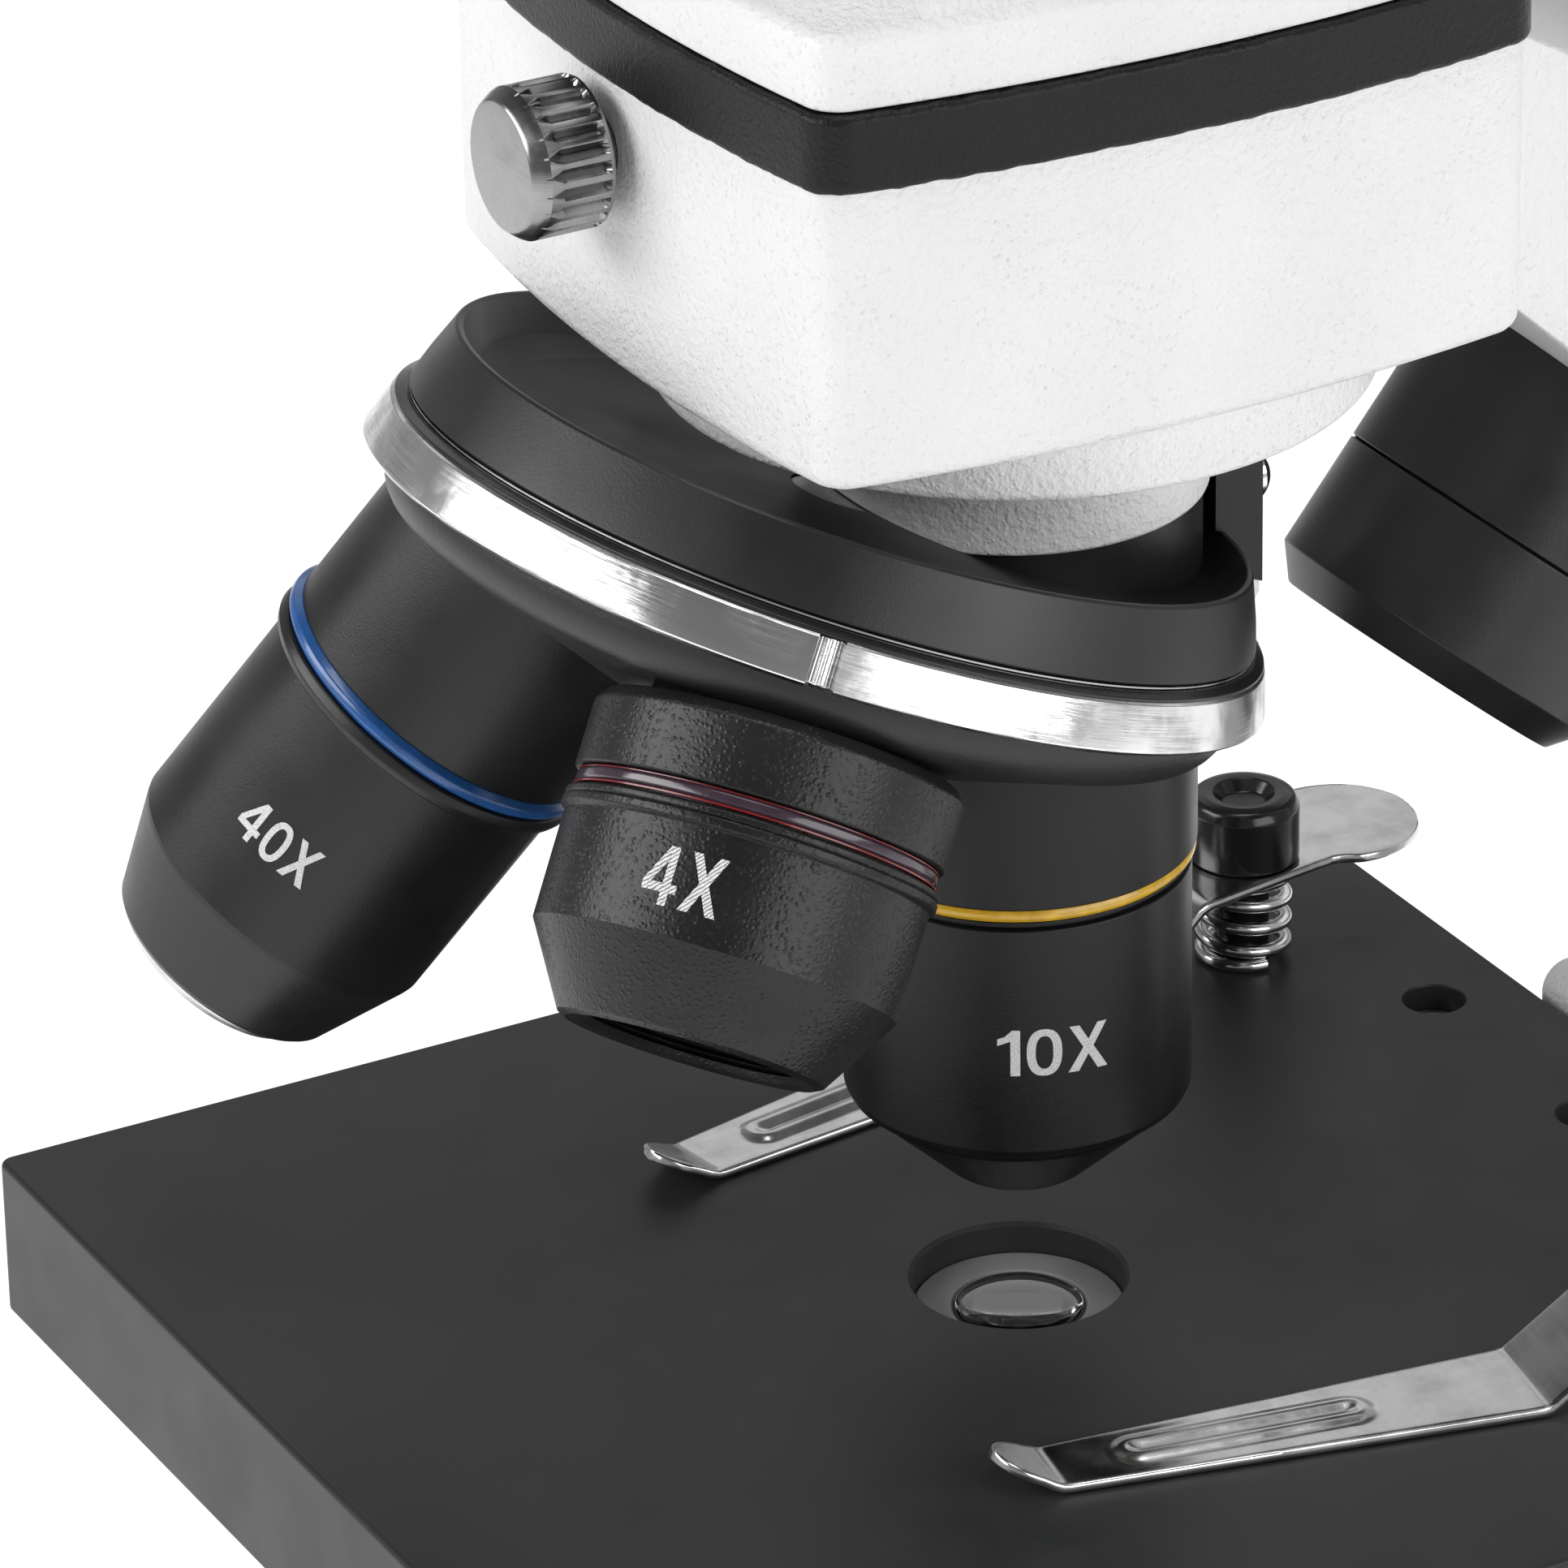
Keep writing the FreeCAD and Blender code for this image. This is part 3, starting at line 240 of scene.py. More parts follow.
def orange_peel(name, dark, light):
    """Powder-like enamel: shallow dimples and fine grains, in uneven patches."""
    m = Nodes(name)
    at = m.coords()
    cloud = m.noise(at, 0.09, 3)
    patches = m.remap(m.noise(at, 0.14, 2), 0.35, 0.65, 0.35, 1.0)
    waves = m.noise(at, 1.9, 2, 0.55)
    grains = m.ramp(m.voronoi(at, 2.3), [(0.08, 1.0), (0.34, 0.0)])
    pores = m.ramp(m.voronoi(m.coords(about_z(31)), 0.8), [(0.0, 1.0), (0.07, 0.0)])
    height = m.plus(m.times(waves, 1.3), m.times(m.times(grains, patches), 0.35))
    height = m.maths("SUBTRACT", height, m.times(pores, 0.35))
    # The pits are also painted a little darker grey: painted shade in the pits.
    tone = m.blend(m.times(pores, 0.1), m.ramp(cloud, [(0.3, dark), (0.7, light)]), (0.45, 0.44, 0.43))
    return m.done(
        tone, m.remap(cloud, 0.3, 0.7, 0.42, 0.52), m.bump(height, 0.15), Coat_Weight=0.1, Coat_Roughness=0.3
    )


def pimpled(name, dark, light):
    """Black paint over a fine grit: separate small bumps with clear tops."""
    m = Nodes(name)
    at = m.coords()
    bumps = m.ramp(m.voronoi(at, 3.2), [(0.0, 1.0), (0.5, 0.0)])
    keep = m.ramp(m.noise(m.coords(about_z(17)), 1.2, 2), [(0.3, 0.25), (0.7, 1.0)])
    fine = m.noise(at, 4.0, 2)
    height = m.plus(m.times(bumps, keep), m.times(fine, 0.5))
    tone = m.ramp(m.noise(at, 0.2, 3), [(0.3, dark), (0.7, light)])
    return m.done(tone, 0.34, m.bump(height, 0.042), Specular_IOR_Level=0.38)


def satin(name, dark, light, rough, grain=7.0, depth=0.012, place=HERE, turned=0.0, specular=0.5):
    """Anodised or satin-painted metal: fine grain, faint turned lines and a little dust."""
    m = Nodes(name)
    at = m.coords(place)
    cloud = m.noise(at, 0.16, 3)
    fine = m.noise(at, grain, 2, 0.6)
    height = fine
    if turned:
        lines = m.noise(m.coords(place, (0.05, 0.05, 9.0)), 1.0, 3, 0.7)
        height = m.plus(fine, m.times(lines, turned))
    specks = m.ramp(m.voronoi(at, 0.9), [(0.0, 1.0), (0.035, 0.0)])
    colour = m.blend(m.times(specks, 0.12), m.ramp(cloud, [(0.3, dark), (0.7, light)]), (0.3, 0.3, 0.3))
    return m.done(
        colour, m.remap(cloud, 0.3, 0.7, rough - 0.05, rough + 0.06), m.bump(height, depth),
        Specular_IOR_Level=specular
    )


def bright(name, colour, rough, place=HERE, turned=0.0, scratches=0.5):
    """Plated or turned metal: fine lines round the axis of place, stains and hairline scratches."""
    m = Nodes(name)
    at = m.coords(place)
    cloud = m.noise(at, 0.35, 4, 0.6)
    hair = m.noise(m.coords(place @ about_z(33), (0.5, 14.0, 0.5)), 1.0, 3, 0.7)
    height = m.times(hair, scratches)
    lines = m.noise(m.coords(place, (0.12, 0.12, 16.0)), 1.0, 4, 0.75)
    if turned:
        height = m.plus(height, m.times(lines, turned))
    dark = shade(colour, 0.72)
    tone = m.ramp(m.plus(m.times(cloud, 0.6), m.times(lines, 0.4)), [(0.36, dark), (0.56, colour)])
    return m.done(
        tone, m.remap(cloud, 0.3, 0.7, rough * 0.7, rough * 1.5), m.bump(height, 0.006), Metallic=1.0
    )


def turned_chrome(name, colour, place):
    """Turned and plated metal: broken tool lines round the axis of place, and faint stains."""
    m = Nodes(name)
    lines = m.noise(m.coords(place, (0.16, 0.16, 7.0)), 1.0, 3, 0.75)
    broad = m.noise(m.coords(place, (0.06, 0.06, 2.2)), 1.0, 2, 0.6)
    broken = m.ramp(m.noise(m.coords(place), 0.22, 3), [(0.42, 0.25), (0.6, 1.0)])
    height = m.times(m.plus(lines, m.times(broad, 0.5)), broken)
    dark = shade(colour, 0.55)
    tone = m.ramp(m.times(lines, broken), [(0.22, colour), (0.62, dark)])
    return m.done(tone, m.remap(broken, 0.25, 1.0, 0.16, 0.3), m.bump(height, 0.03), Metallic=1.0)


def gloss_paint(name, colour, rough=0.25):
    m = Nodes(name)
    cloud = m.noise(m.coords(), 0.8, 3)
    dark = shade(colour, 0.7)
    return m.done(
        m.ramp(cloud, [(0.3, dark), (0.7, colour)]), rough, m.bump(m.noise(m.coords(), 3.0, 2), 0.01),
        Coat_Weight=0.4, Coat_Roughness=0.1
    )


def glass(name, tint, reflect):
    m = Nodes(name)
    dust = m.noise(m.coords(), 1.5, 4, 0.7)
    rough = m.remap(dust, 0.45, 0.8, 0.0, 0.08)
    return m.done(
        tint, rough, None, Transmission_Weight=1.0, IOR=1.6, Coat_Weight=1.0, Coat_Tint=(*reflect, 1),
        Coat_Roughness=0.02
    )


def printed(name, colour):
    """Screen-printed or engraved figures with a slightly uneven edge and tone."""
    m = Nodes(name)
    grain = m.noise(m.coords(), 11.0, 3, 0.7)
    dark = shade(colour, 0.62)
    return m.done(m.ramp(grain, [(0.36, dark), (0.56, colour)]), 0.6, m.bump(grain, 0.02))


def hatched(name, colour):
    """Laser-marked figures, made of fine slanted lines."""
    m = Nodes(name)
    wave = m.add("ShaderNodeTexWave", Scale=2.3, Distortion=3.0, Detail=2.0, Detail_Scale=2.0)
    wave.bands_direction = "DIAGONAL"
    m.link(m.coords(station(1) @ about_z(FIGURES_4X_ANGLE - 90)), wave.inputs["Vector"])
    return m.done(
        m.ramp(wave.outputs["Fac"], [(0.12, (0.16, 0.16, 0.16)), (0.34, colour)]), 0.6,
        m.bump(wave.outputs["Fac"], 0.03)
    )


WHITE = orange_peel("white_enamel", (0.77, 0.77, 0.765), (0.82, 0.82, 0.815))
BLACK = satin("black_satin", *blacks(0.008, 0.014), 0.4, specular=0.35)
STAGE = satin("stage_black", (0.024, 0.026, 0.025), (0.031, 0.033, 0.032), 0.4, 9.0, 0.006, specular=0.26)
PLASTIC = enamel("black_moulding", *blacks(0.004, 0.009), 3.0, 0.08, 0.4, specular=0.26)
RING_CHROME = turned_chrome("turned_chrome", (0.9, 0.9, 0.9), TURRET)
CHROME = bright("bright_chrome", (0.84, 0.84, 0.84), 0.14, HERE, 0.0, 0.5)
DARK_CHROME = bright("dark_chrome", (0.34, 0.34, 0.345), 0.22, HERE, 0.0, 0.5)
STEEL = bright("ground_steel", (0.6, 0.6, 0.6), 0.3, HERE, 0.6, 0.4)
ALUMINIUM = bright("machined_aluminium", (0.74, 0.74, 0.75), 0.3, station(2), 0.8, 0.3)
BRASS = bright("turned_brass", (0.8, 0.62, 0.3), 0.28, HERE, 0.5, 0.3)
YELLOW = gloss_paint("yellow_paint", (0.8, 0.47, 0.03))
BLUE = gloss_paint("blue_paint", (0.02, 0.11, 0.36))
RED = gloss_paint("red_paint", (0.26, 0.012, 0.014))
CLEAR = gloss_paint("tinted_clear_plastic", (0.05, 0.03, 0.045), 0.16)
GLASS = glass("coated_glass", (0.95, 0.97, 0.97), (0.97, 0.97, 0.99))
PRINT = printed("white_print", (0.78, 0.78, 0.78))
RUBBER = enamel("foot_rubber", (0.015, 0.015, 0.015), (0.03, 0.03, 0.03), 1.6, 0.05, 0.75)
BOARD = gloss_paint("board_lacquer", (0.82, 0.84, 0.78), 0.35)
# The condenser cell's pale grey is painted light: the cell is made pale to look lit where it lies in shade.
CELL_PAINTED_LIGHT = satin("condenser_cell_painted_light", (0.26, 0.26, 0.26), (0.34, 0.34, 0.34), 0.45, 7.0, 0.01)

FINISH = {
    "white_enamel": WHITE, "black_enamel": BLACK, "stage_enamel": STAGE, "black_plastic": PLASTIC,
    "bright_chrome": CHROME, "dark_chrome": DARK_CHROME, "steel": STEEL, "bare_aluminium": ALUMINIUM,
    "bush_brass": BRASS, "yellow_ring": YELLOW, "blue_ring": BLUE, "red_ring": RED, "optical_glass": GLASS,
    "foot_rubber": RUBBER, "led_board": BOARD
}
SLOT_OF = {part["node"]: part["material_slot"] for part in frame["record"]["subparts"]}
BODY_OF = {}
for body_name, members in frame["record"]["behaviour"]["bodies"].items():
    for member in members:
        BODY_OF[member] = body_name
for node_name, node in NODES.items():
    node.data.materials.clear()
    node.data.materials.append(FINISH[SLOT_OF[node_name]])


# Shapes
def bend_corners(points, closed=True, step=12):
    """Flat (a, b) or (a, b, radius) corners as (a, b) points, with an arc at each given radius."""
    out = []
    count = len(points)
    for i, point in enumerate(points):
        here = Vector(point[:2])
        radius = point[2] if len(point) > 2 else 0
        if not radius or (not closed and i in (0, count - 1)):
            out.append(here)
            continue
        before = Vector(points[i - 1][:2]) - here
        after = Vector(points[(i + 1) % count][:2]) - here
        half = before.angle(after) / 2
        if abs(half - math.pi / 2) < 0.01:
            out.append(here)
            continue
        inset = min(radius / math.tan(half), 0.49 * before.length, 0.49 * after.length)
        radius = inset * math.tan(half)
        start, end = here + before.normalized() * inset, here + after.normalized() * inset
        centre = here + (before.normalized() + after.normalized()).normalized() * (radius / math.sin(half))
        a, b = start - centre, end - centre
        turn = math.atan2(a.x * b.y - a.y * b.x, a.dot(b))
        pieces = max(2, math.ceil(abs(math.degrees(turn)) / step))
        for k in range(pieces + 1):
            t = turn * k / pieces
            c, s = math.cos(t), math.sin(t)
            out.append(centre + Vector((a.x * c - a.y * s, a.x * s + a.y * c)))
    return [(p.x, p.y) for p in out]


def loft(rings, closed=False, caps=True):
    """Vertices and faces of a skin over rings of points; a ring of one point is a pole."""
    verts, faces, starts = [], [], []
    for ring in rings:
        starts.append(len(verts))
        verts.extend(ring)
    pairs = list(zip(range(len(rings) - 1), range(1, len(rings))))
    if closed:
        pairs.append((len(rings) - 1, 0))
    for a, b in pairs:
        size_a, size_b = len(rings[a]), len(rings[b])
        for i in range(max(size_a, size_b)):
            j = (i + 1) % max(size_a, size_b)
            corners = [
                starts[a] + i % size_a, starts[a] + j % size_a, starts[b] + j % size_b,
                starts[b] + i % size_b
            ]
            unique = list(dict.fromkeys(corners))
            if len(unique) > 2:
                faces.append(unique)
    if caps and not closed:
        for index in (0, -1):
            size = len(rings[index])
            if size > 2:
                faces.append([starts[index] + i for i in range(size)])
    return verts, faces


def smooth(mesh, sharp):
    """Smooth shading, with edges over sharp degrees kept sharp."""
    for polygon in mesh.polygons:
        polygon.use_smooth = True
    mesh.set_sharp_from_angle(angle=math.radians(sharp))


def piece(name, shape, place, material, nodes, body=None, sharp=40, slot=None):
    """Makes one object from (verts, faces) or a bmesh, and notes the CAD nodes that it stands for."""
    mesh = bpy.data.meshes.new(name)
    if isinstance(shape, bmesh.types.BMesh):
        work = shape
    else:
        mesh.from_pydata([tuple(v) for v in shape[0]], [], shape[1])
        work = bmesh.new()
        work.from_mesh(mesh)
    bmesh.ops.remove_doubles(work, verts=work.verts, dist=WELD)
    bmesh.ops.recalc_face_normals(work, faces=work.faces)
    work.transform(place)
    work.to_mesh(mesh)
    work.free()
    smooth(mesh, sharp)
    mesh.materials.append(material)
    made = show(bpy.data.objects.new(name, mesh))
    made["nodes"] = ",".join(nodes)
    made["body"] = body or BODY_OF[nodes[0]]
    made["slot"] = slot or (SLOT_OF[nodes[0]] if nodes else "")
    return made


def settle(made, normals=True):
    """Brings a finished piece to the row's frame and body, and lets it stand for its CAD nodes."""
    made.data.transform(TO_ROW)
    if normals:
        shading = made.modifiers.new("normals", "WEIGHTED_NORMAL")
        shading.keep_sharp = True
    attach(made, made["body"])
    if made["nodes"]:
        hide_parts(*made["nodes"].split(","))
    for key in ("nodes", "body", "slot"):
        del made[key]
    return made


def fitted(name, shape, place, material, nodes, **options):
    """A piece that needs no cutting, in its place."""
    return settle(piece(name, shape, place, material, nodes, **options))


def evaluated(thing):
    """A new mesh of the object as its modifiers or its curve leave it."""
    bpy.context.view_layer.update()
    graph = bpy.context.evaluated_depsgraph_get()
    return bpy.data.meshes.new_from_object(thing.evaluated_get(graph), depsgraph=graph)


def combine(made, others, operation):
    """Joins or cuts a piece with temporary pieces, and removes them."""
    for other in others:
        step = made.modifiers.new("step", "BOOLEAN")
        step.operation = operation
        step.solver = "EXACT"
        step.object = other
        mesh = evaluated(made)
        made.modifiers.clear()
        made.data = mesh
        work = bmesh.new()
        work.from_mesh(mesh)
        bmesh.ops.remove_doubles(work, verts=work.verts, dist=WELD)
        bmesh.ops.dissolve_degenerate(work, edges=work.edges, dist=WELD)
        work.to_mesh(mesh)
        work.free()
    for polygon in mesh.polygons:
        polygon.material_index = 0
    smooth(mesh, 35)
    for other in others:
        bpy.data.objects.remove(other)
    return made


def subtract(made, cutters):
    return combine(made, cutters, "DIFFERENCE")


def unite(made, others):
    return combine(made, others, "UNION")


def cutter(shape, place=HERE):
    """A temporary piece for combine."""
    return piece("cutter", shape, place, BLACK, [], body="stand")


def ring_at(r, z, angles, shape=None):
    """A ring of points about Z, or its pole; shape(angle, r, z) gives an uneven radius."""
    if r < 1e-6:
        return [(0, 0, z)]
    points = []
    for a in angles:
        radius = shape(a, r, z) if shape else r
        points.append((radius * math.cos(a), radius * math.sin(a), z))
    return points


def turned(profile, count=144, shape=None, angles=None):
    """A lathe form about Z from (r, z) or (r, z, corner radius) points."""
    angles = angles or [2 * math.pi * i / count for i in range(count)]
    outline = bend_corners(profile)
    on_axis = outline[0][0] < 1e-6 and outline[-1][0] < 1e-6
    return loft([ring_at(r, z, angles, shape) for r, z in outline], not on_axis, False)


def rod(r, z0, z1, count=64):
    return turned([(0, z0), (r, z0), (r, z1), (0, z1)], count)


def along_outline(outline, levels, weight=None):
    """A slab over a closed flat outline, through (height, inset) levels."""
    count = len(outline)
    normals = []
    for i in range(count):
        ahead, behind = outline[(i + 1) % count], outline[i - 1]
        dx, dy = ahead[0] - behind[0], ahead[1] - behind[1]
        size = math.hypot(dx, dy)
        normals.append((dy / size, -dx / size))
    area = sum(outline[i - 1][0] * p[1] - p[0] * outline[i - 1][1] for i, p in enumerate(outline))
    sign = 1 if area > 0 else -1
    rings = []
    for z, inset in levels:
        ring = []
        for i, ((x, y), (nx, ny)) in enumerate(zip(outline, normals)):
            d = inset * sign * (weight(x, y) if weight else 1)
            ring.append((x - nx * d, y - ny * d, z))
        rings.append(ring)
    return loft(rings)


def soft_levels(z0, z1, low, high, steps=5):
    """Levels of a slab with rounded lower and upper edges."""
    turns = [math.pi / 2 * k / steps for k in range(steps + 1)]
    lower = [(z0 + low * (1 - math.cos(t)), low * (1 - math.sin(t))) for t in turns]
    upper = [(z1 - high * (1 - math.sin(t)), high * (1 - math.cos(t))) for t in turns]
    return lower + upper


def both_sides(half):
    """Levels of a slab that is the same on both sides of its middle, from its outer face inwards."""
    return [(-x, inset) for x, inset in half] + half[::-1]


def arc_circle(a, b, c):
    """Centre and radius of the circle through three points."""
    (ax, ay), (bx, by), (cx, cy) = a, b, c
    d = 2 * (ax * (by - cy) + bx * (cy - ay) + cx * (ay - by))
    ux = ((ax**2 + ay**2) * (by - cy) + (bx**2 + by**2) * (cy - ay) + (cx**2 + cy**2) * (ay - by)) / d
    uy = ((ax**2 + ay**2) * (cx - bx) + (bx**2 + by**2) * (ax - cx) + (cx**2 + cy**2) * (bx - ax)) / d
    return Vector((ux, uy)), math.hypot(ax - ux, ay - uy)


def rounded_arcs(arcs, radius):
    """A closed outline of arcs, each through three points, with rounded corners between them."""
    circles = [arc_circle(*arc) for arc in arcs]
    balls = []
    for i, (centre, big) in enumerate(circles):
        other, other_big = circles[(i + 1) % len(circles)]
        a, b = big - radius, other_big - radius
        gap = (other - centre).length
        along = (a * a - b * b + gap * gap) / (2 * gap)
        side = math.sqrt(max(a * a - along * along, 0))
        unit = (other - centre).normalized()
        foot = centre + unit * along
        across = Vector((-unit.y, unit.x)) * side
        corner = Vector(arcs[i][2])
        balls.append(min((foot + across, foot - across), key=lambda p: (p - corner).length))

    def sweep(centre, r, start, end):
        a, b = start - centre, end - centre
        turn = math.atan2(a.x * b.y - a.y * b.x, a.dot(b))
        pieces = max(4, math.ceil(abs(turn) * r / (0.5 if r > 4 else 0.25)))
        points = []
        for k in range(pieces):
            t = turn * k / pieces
            c, s = math.cos(t), math.sin(t)
            points.append((centre.x + a.x * c - a.y * s, centre.y + a.x * s + a.y * c))
        return points

    def touch(index, ball):
        centre, big = circles[index]
        return centre + (ball - centre).normalized() * big

    outline = []
    for i, (centre, big) in enumerate(circles):
        start, end = touch(i, balls[i - 1]), touch(i, balls[i])
        outline += sweep(centre, big, start, end)
        outline += sweep(balls[i], radius, end, touch((i + 1) % len(circles), balls[i]))
    return outline


def head_plan(grow=0.0, radius=2.4):
    """The head's flat outline: four bulging sides with rounded corners."""
    front, middle, rear = 22.4 + grow, 24.3 + grow, 22.2 + grow
    side, nose = -24.3 - grow, -26.3 - grow
    back = 21.0 + grow
    return rounded_arcs(
        [
            ((-front, side), (0, nose), (front, side)),
            ((front, side), (middle, -2), (rear, back)),
            ((rear, back), (0, back + 0.02), (-rear, back)),
            ((-rear, back), (-middle, -2), (-front, side)),
        ],
        radius,
    )


def tube_along(points, r, count=14):
    """A round wire along points."""
    rings = []
    up = Vector((0, 0, 1))
    for i, point in enumerate(points):
        ahead = Vector(points[min(i + 1, len(points) - 1)]) - Vector(points[max(i - 1, 0)])
        ahead.normalize()
        side = ahead.cross(up).normalized()
        lift = side.cross(ahead)
        ring = []
        for k in range(count):
            a = 2 * math.pi * k / count
            ring.append(tuple(Vector(point) + side * (r * math.cos(a)) + lift * (r * math.sin(a))))
        rings.append(ring)
    return loft(rings)


def joined(*shapes):
    """Several (verts, faces) as one."""
    verts, faces = [], []
    for new_verts, new_faces in shapes:
        base = len(verts)
        verts += new_verts
        faces += [[base + i for i in face] for face in new_faces]
    return verts, faces


def placed(shape, place):
    """(verts, faces) moved by place."""
    return [tuple(place @ Vector(v)) for v in shape[0]], shape[1]


def block(x0, x1, y0, y1, z0, z1, edge=0.3):
    """A box with softened edges."""
    outline = bend_corners(
        [(x0, y0, edge * 1.6), (x1, y0, edge * 1.6), (x1, y1, edge * 1.6), (x0, y1, edge * 1.6)]
    )
    return along_outline(outline, soft_levels(z0, z1, edge, edge, 3))


GLYPHS = {
    "1": (
        0.42, [[(0.24, 0), (0.42, 0), (0.42, 1), (0.27, 1), (0.14, 0.86), (0, 0.8), (0, 0.66), (0.24, 0.76)]]
    ),
    "4": (0.74, [
        [
            (0.43, 0), (0.6, 0), (0.6, 0.22), (0.74, 0.22), (0.74, 0.37), (0.6, 0.37), (0.6, 1), (0.41, 1),
            (0, 0.38), (0, 0.22), (0.43, 0.22)
        ],
        [(0.43, 0.37), (0.17, 0.37), (0.43, 0.76)],
    ]),
    "X": (0.78, [
        [
            (0, 0), (0.2, 0), (0.39, 0.35), (0.58, 0), (0.78, 0), (0.49, 0.51), (0.76, 1), (0.57, 1),
            (0.39, 0.67), (0.21, 1), (0.02, 1), (0.29, 0.51)
        ],
    ]),
}


def oval(cx, cy, a, b, power=2.4, count=40):
    points = []
    for i in range(count):
        t = 2 * math.pi * i / count
        c, s = math.cos(t), math.sin(t)
        x = cx + a * math.copysign(abs(c) ** (2 / power), c)
        y = cy + b * math.copysign(abs(s) ** (2 / power), s)
        points.append((x, y))
    return points


GLYPHS["0"] = (0.66, [oval(0.33, 0.5, 0.33, 0.51), oval(0.33, 0.5, 0.165, 0.36)])


def figures(name, text, height, width, r, z, angle, place, material):
    """Figures that follow a barrel of radius r, centred at a height and an angle."""
    curve = bpy.data.curves.new(name, "CURVE")
    curve.dimensions = "2D"
    curve.fill_mode = "BOTH"
    at = 0.0
    for letter in text:
        advance, loops = GLYPHS[letter]
        for loop in loops:
            spline = curve.splines.new("POLY")
            spline.points.add(len(loop) - 1)
            for point, (x, y) in zip(spline.points, loop):
                point.co = (at + x, y, 0, 1)
            spline.use_cyclic_u = True
        at += advance + 0.12
    total = at - 0.12
    shown = show(bpy.data.objects.new(name, curve))
    flat = evaluated(shown)
    bpy.data.objects.remove(shown)
    work = bmesh.new()
    work.from_mesh(flat)
    bmesh.ops.remove_doubles(work, verts=work.verts, dist=WELD)
    for vert in work.verts:
        vert.co = ((vert.co.x / total - 0.5) * width, (vert.co.y - 0.5) * height, 0)
    x = -width / 2
    while x < width / 2:
        geometry = list(work.verts) + list(work.edges) + list(work.faces)
        bmesh.ops.bisect_plane(work, geom=geometry, plane_co=(x, 0, 0), plane_no=(1, 0, 0))
        x += 0.3
    grown = bmesh.ops.extrude_face_region(work, geom=list(work.faces))
    for item in grown["geom"]:
        if isinstance(item, bmesh.types.BMVert):
            item.co.z += 0.06
    for vert in work.verts:
        turn = math.radians(angle) + vert.co.x / r
        out = r - 0.02 + vert.co.z
        vert.co = (out * math.cos(turn), out * math.sin(turn), z + vert.co.y)
    made = piece(name, work, place, material, [], body="nosepiece", sharp=50, slot="white_enamel")
    return settle(made, normals=False)


# Head block and band
def uneven(made, heights, depth=0.1):
    """Lets the moulded edges at the given heights wander a little."""
    for vert in made.data.vertices:
        at = vert.co
        if min(abs(at.z - h) for h in heights) < 0.6:
            broad = noise.noise(Vector((at.x, at.y, 0)) * 0.8)
            fine = noise.noise(Vector((at.x, at.y, 7)) * 2.4)
            vert.co.z += (broad + 0.6 * fine) * depth


def head_parts():
    body = along_outline(head_plan(), soft_levels(65.8, 84.0, 1.1, 0.2))
    made = piece("head_block_shell", body, HERE, WHITE, ["head_block"])
    boss = cutter(turned([(0, 60.7), (21.2, 60.7, 0.7), (21.2, 66.4), (0, 66.4)], 160))
    neck = cutter(turned([(0, 53.0), (11.4, 53.0, 0.3), (11.4, 59.8, 0.6), (12.4, 61.5), (0, 61.5)], 128))
    unite(made, [boss, neck])
    plug = cutter(rod(7.0, 40, 80))
    screw_hole = cutter(rod(1.98, -5, 30), move(0, -30, LOCK_HEIGHT) @ about_x(-90))
    settle(subtract(made, [plug, screw_hole, cutter(rod(60, -30, 4.9), TURRET)]))
    band = along_outline(head_plan(0.4, 2.8), soft_levels(83.5, 88.1, 0.5, 0.5))
    strap = piece("head_band_moulding", band, HERE, PLASTIC, ["head_band"])
    uneven(strap, (83.5, 88.1))
    settle(strap)


head_parts()


# Lock screw
def fluted(angle, r, z):
    """V grooves round the head that run out to a point at both ends."""
    if r < 4.3:
        return r
    phase = (angle * 24 / (2 * math.pi)) % 1.0
    groove = 1 - abs(phase - 0.5) * 2.9
    run = min(min(max((z - 0.9) / 0.9, 0), 1), min(max((4.68 - z) / 0.14, 0), 1))
    return r - 0.55 * max(0.0, groove - (1 - run))


def lock_screw():
    profile = [(0, 0.0), (3.55, 0.0), (3.72, 0.03), (3.82, 0.1), (3.92, 0.24), (4.12, 0.5), (4.28, 0.75)]
    profile += [(4.4, 1.0 + 0.14 * k) for k in range(26)]
    profile += [
        (4.4, 4.72), (4.32, 4.95), (4.15, 5.08), (3.9, 5.1), (2.9, 5.1), (2.6, 5.14), (2.5, 5.3),
        (2.5, 5.75), (1.95, 5.8), (1.9, 6.2)
    ]
    z = 6.4
    while z < 15.0:
        profile += [(1.9, z), (1.72, z + 0.2), (1.9, z + 0.4)]
        z += 0.5
    profile += [(1.6, 16.4), (0, 16.4)]
    made = piece(
        "head_lock_screw_knurled", turned(profile, 24 * 18, fluted), LOCK_SCREW, DARK_CHROME,
        ["head_lock_screw"], sharp=24
    )
    settle(made, normals=False)


lock_screw()


# Nosepiece
def from_notch(angle, k):
    """The angle past notch k, from -pi to pi."""
    return (angle - math.radians(90 + 120 * k) + math.pi) % (2 * math.pi) - math.pi


def ring_angles(width, count=240):
    """Even angles, with extra ones at the three notches."""
    angles = [2 * math.pi * i / count for i in range(count)]
    for k in range(3):
        middle = math.radians(90 + 120 * k)
        angles = [a for a in angles if abs(from_notch(a, k)) > width * 1.1]
        for step in range(-20, 21):
            angles.append((middle + width * step / 20) % (2 * math.pi))
    return sorted(angles)


NOTCH = 0.85 / 26.8


def notched(angle, r, z):
    """Three sight notches, each with fine lines along its floor."""
    if r < 25.8:
        return r
    for k in range(3):
        off = abs(from_notch(angle, k)) / NOTCH
        if off < 1:
            return r - min((1 - off) * 3.0, 1.0) * 0.42 - 0.07 * math.cos(off * 9.5)
    return r


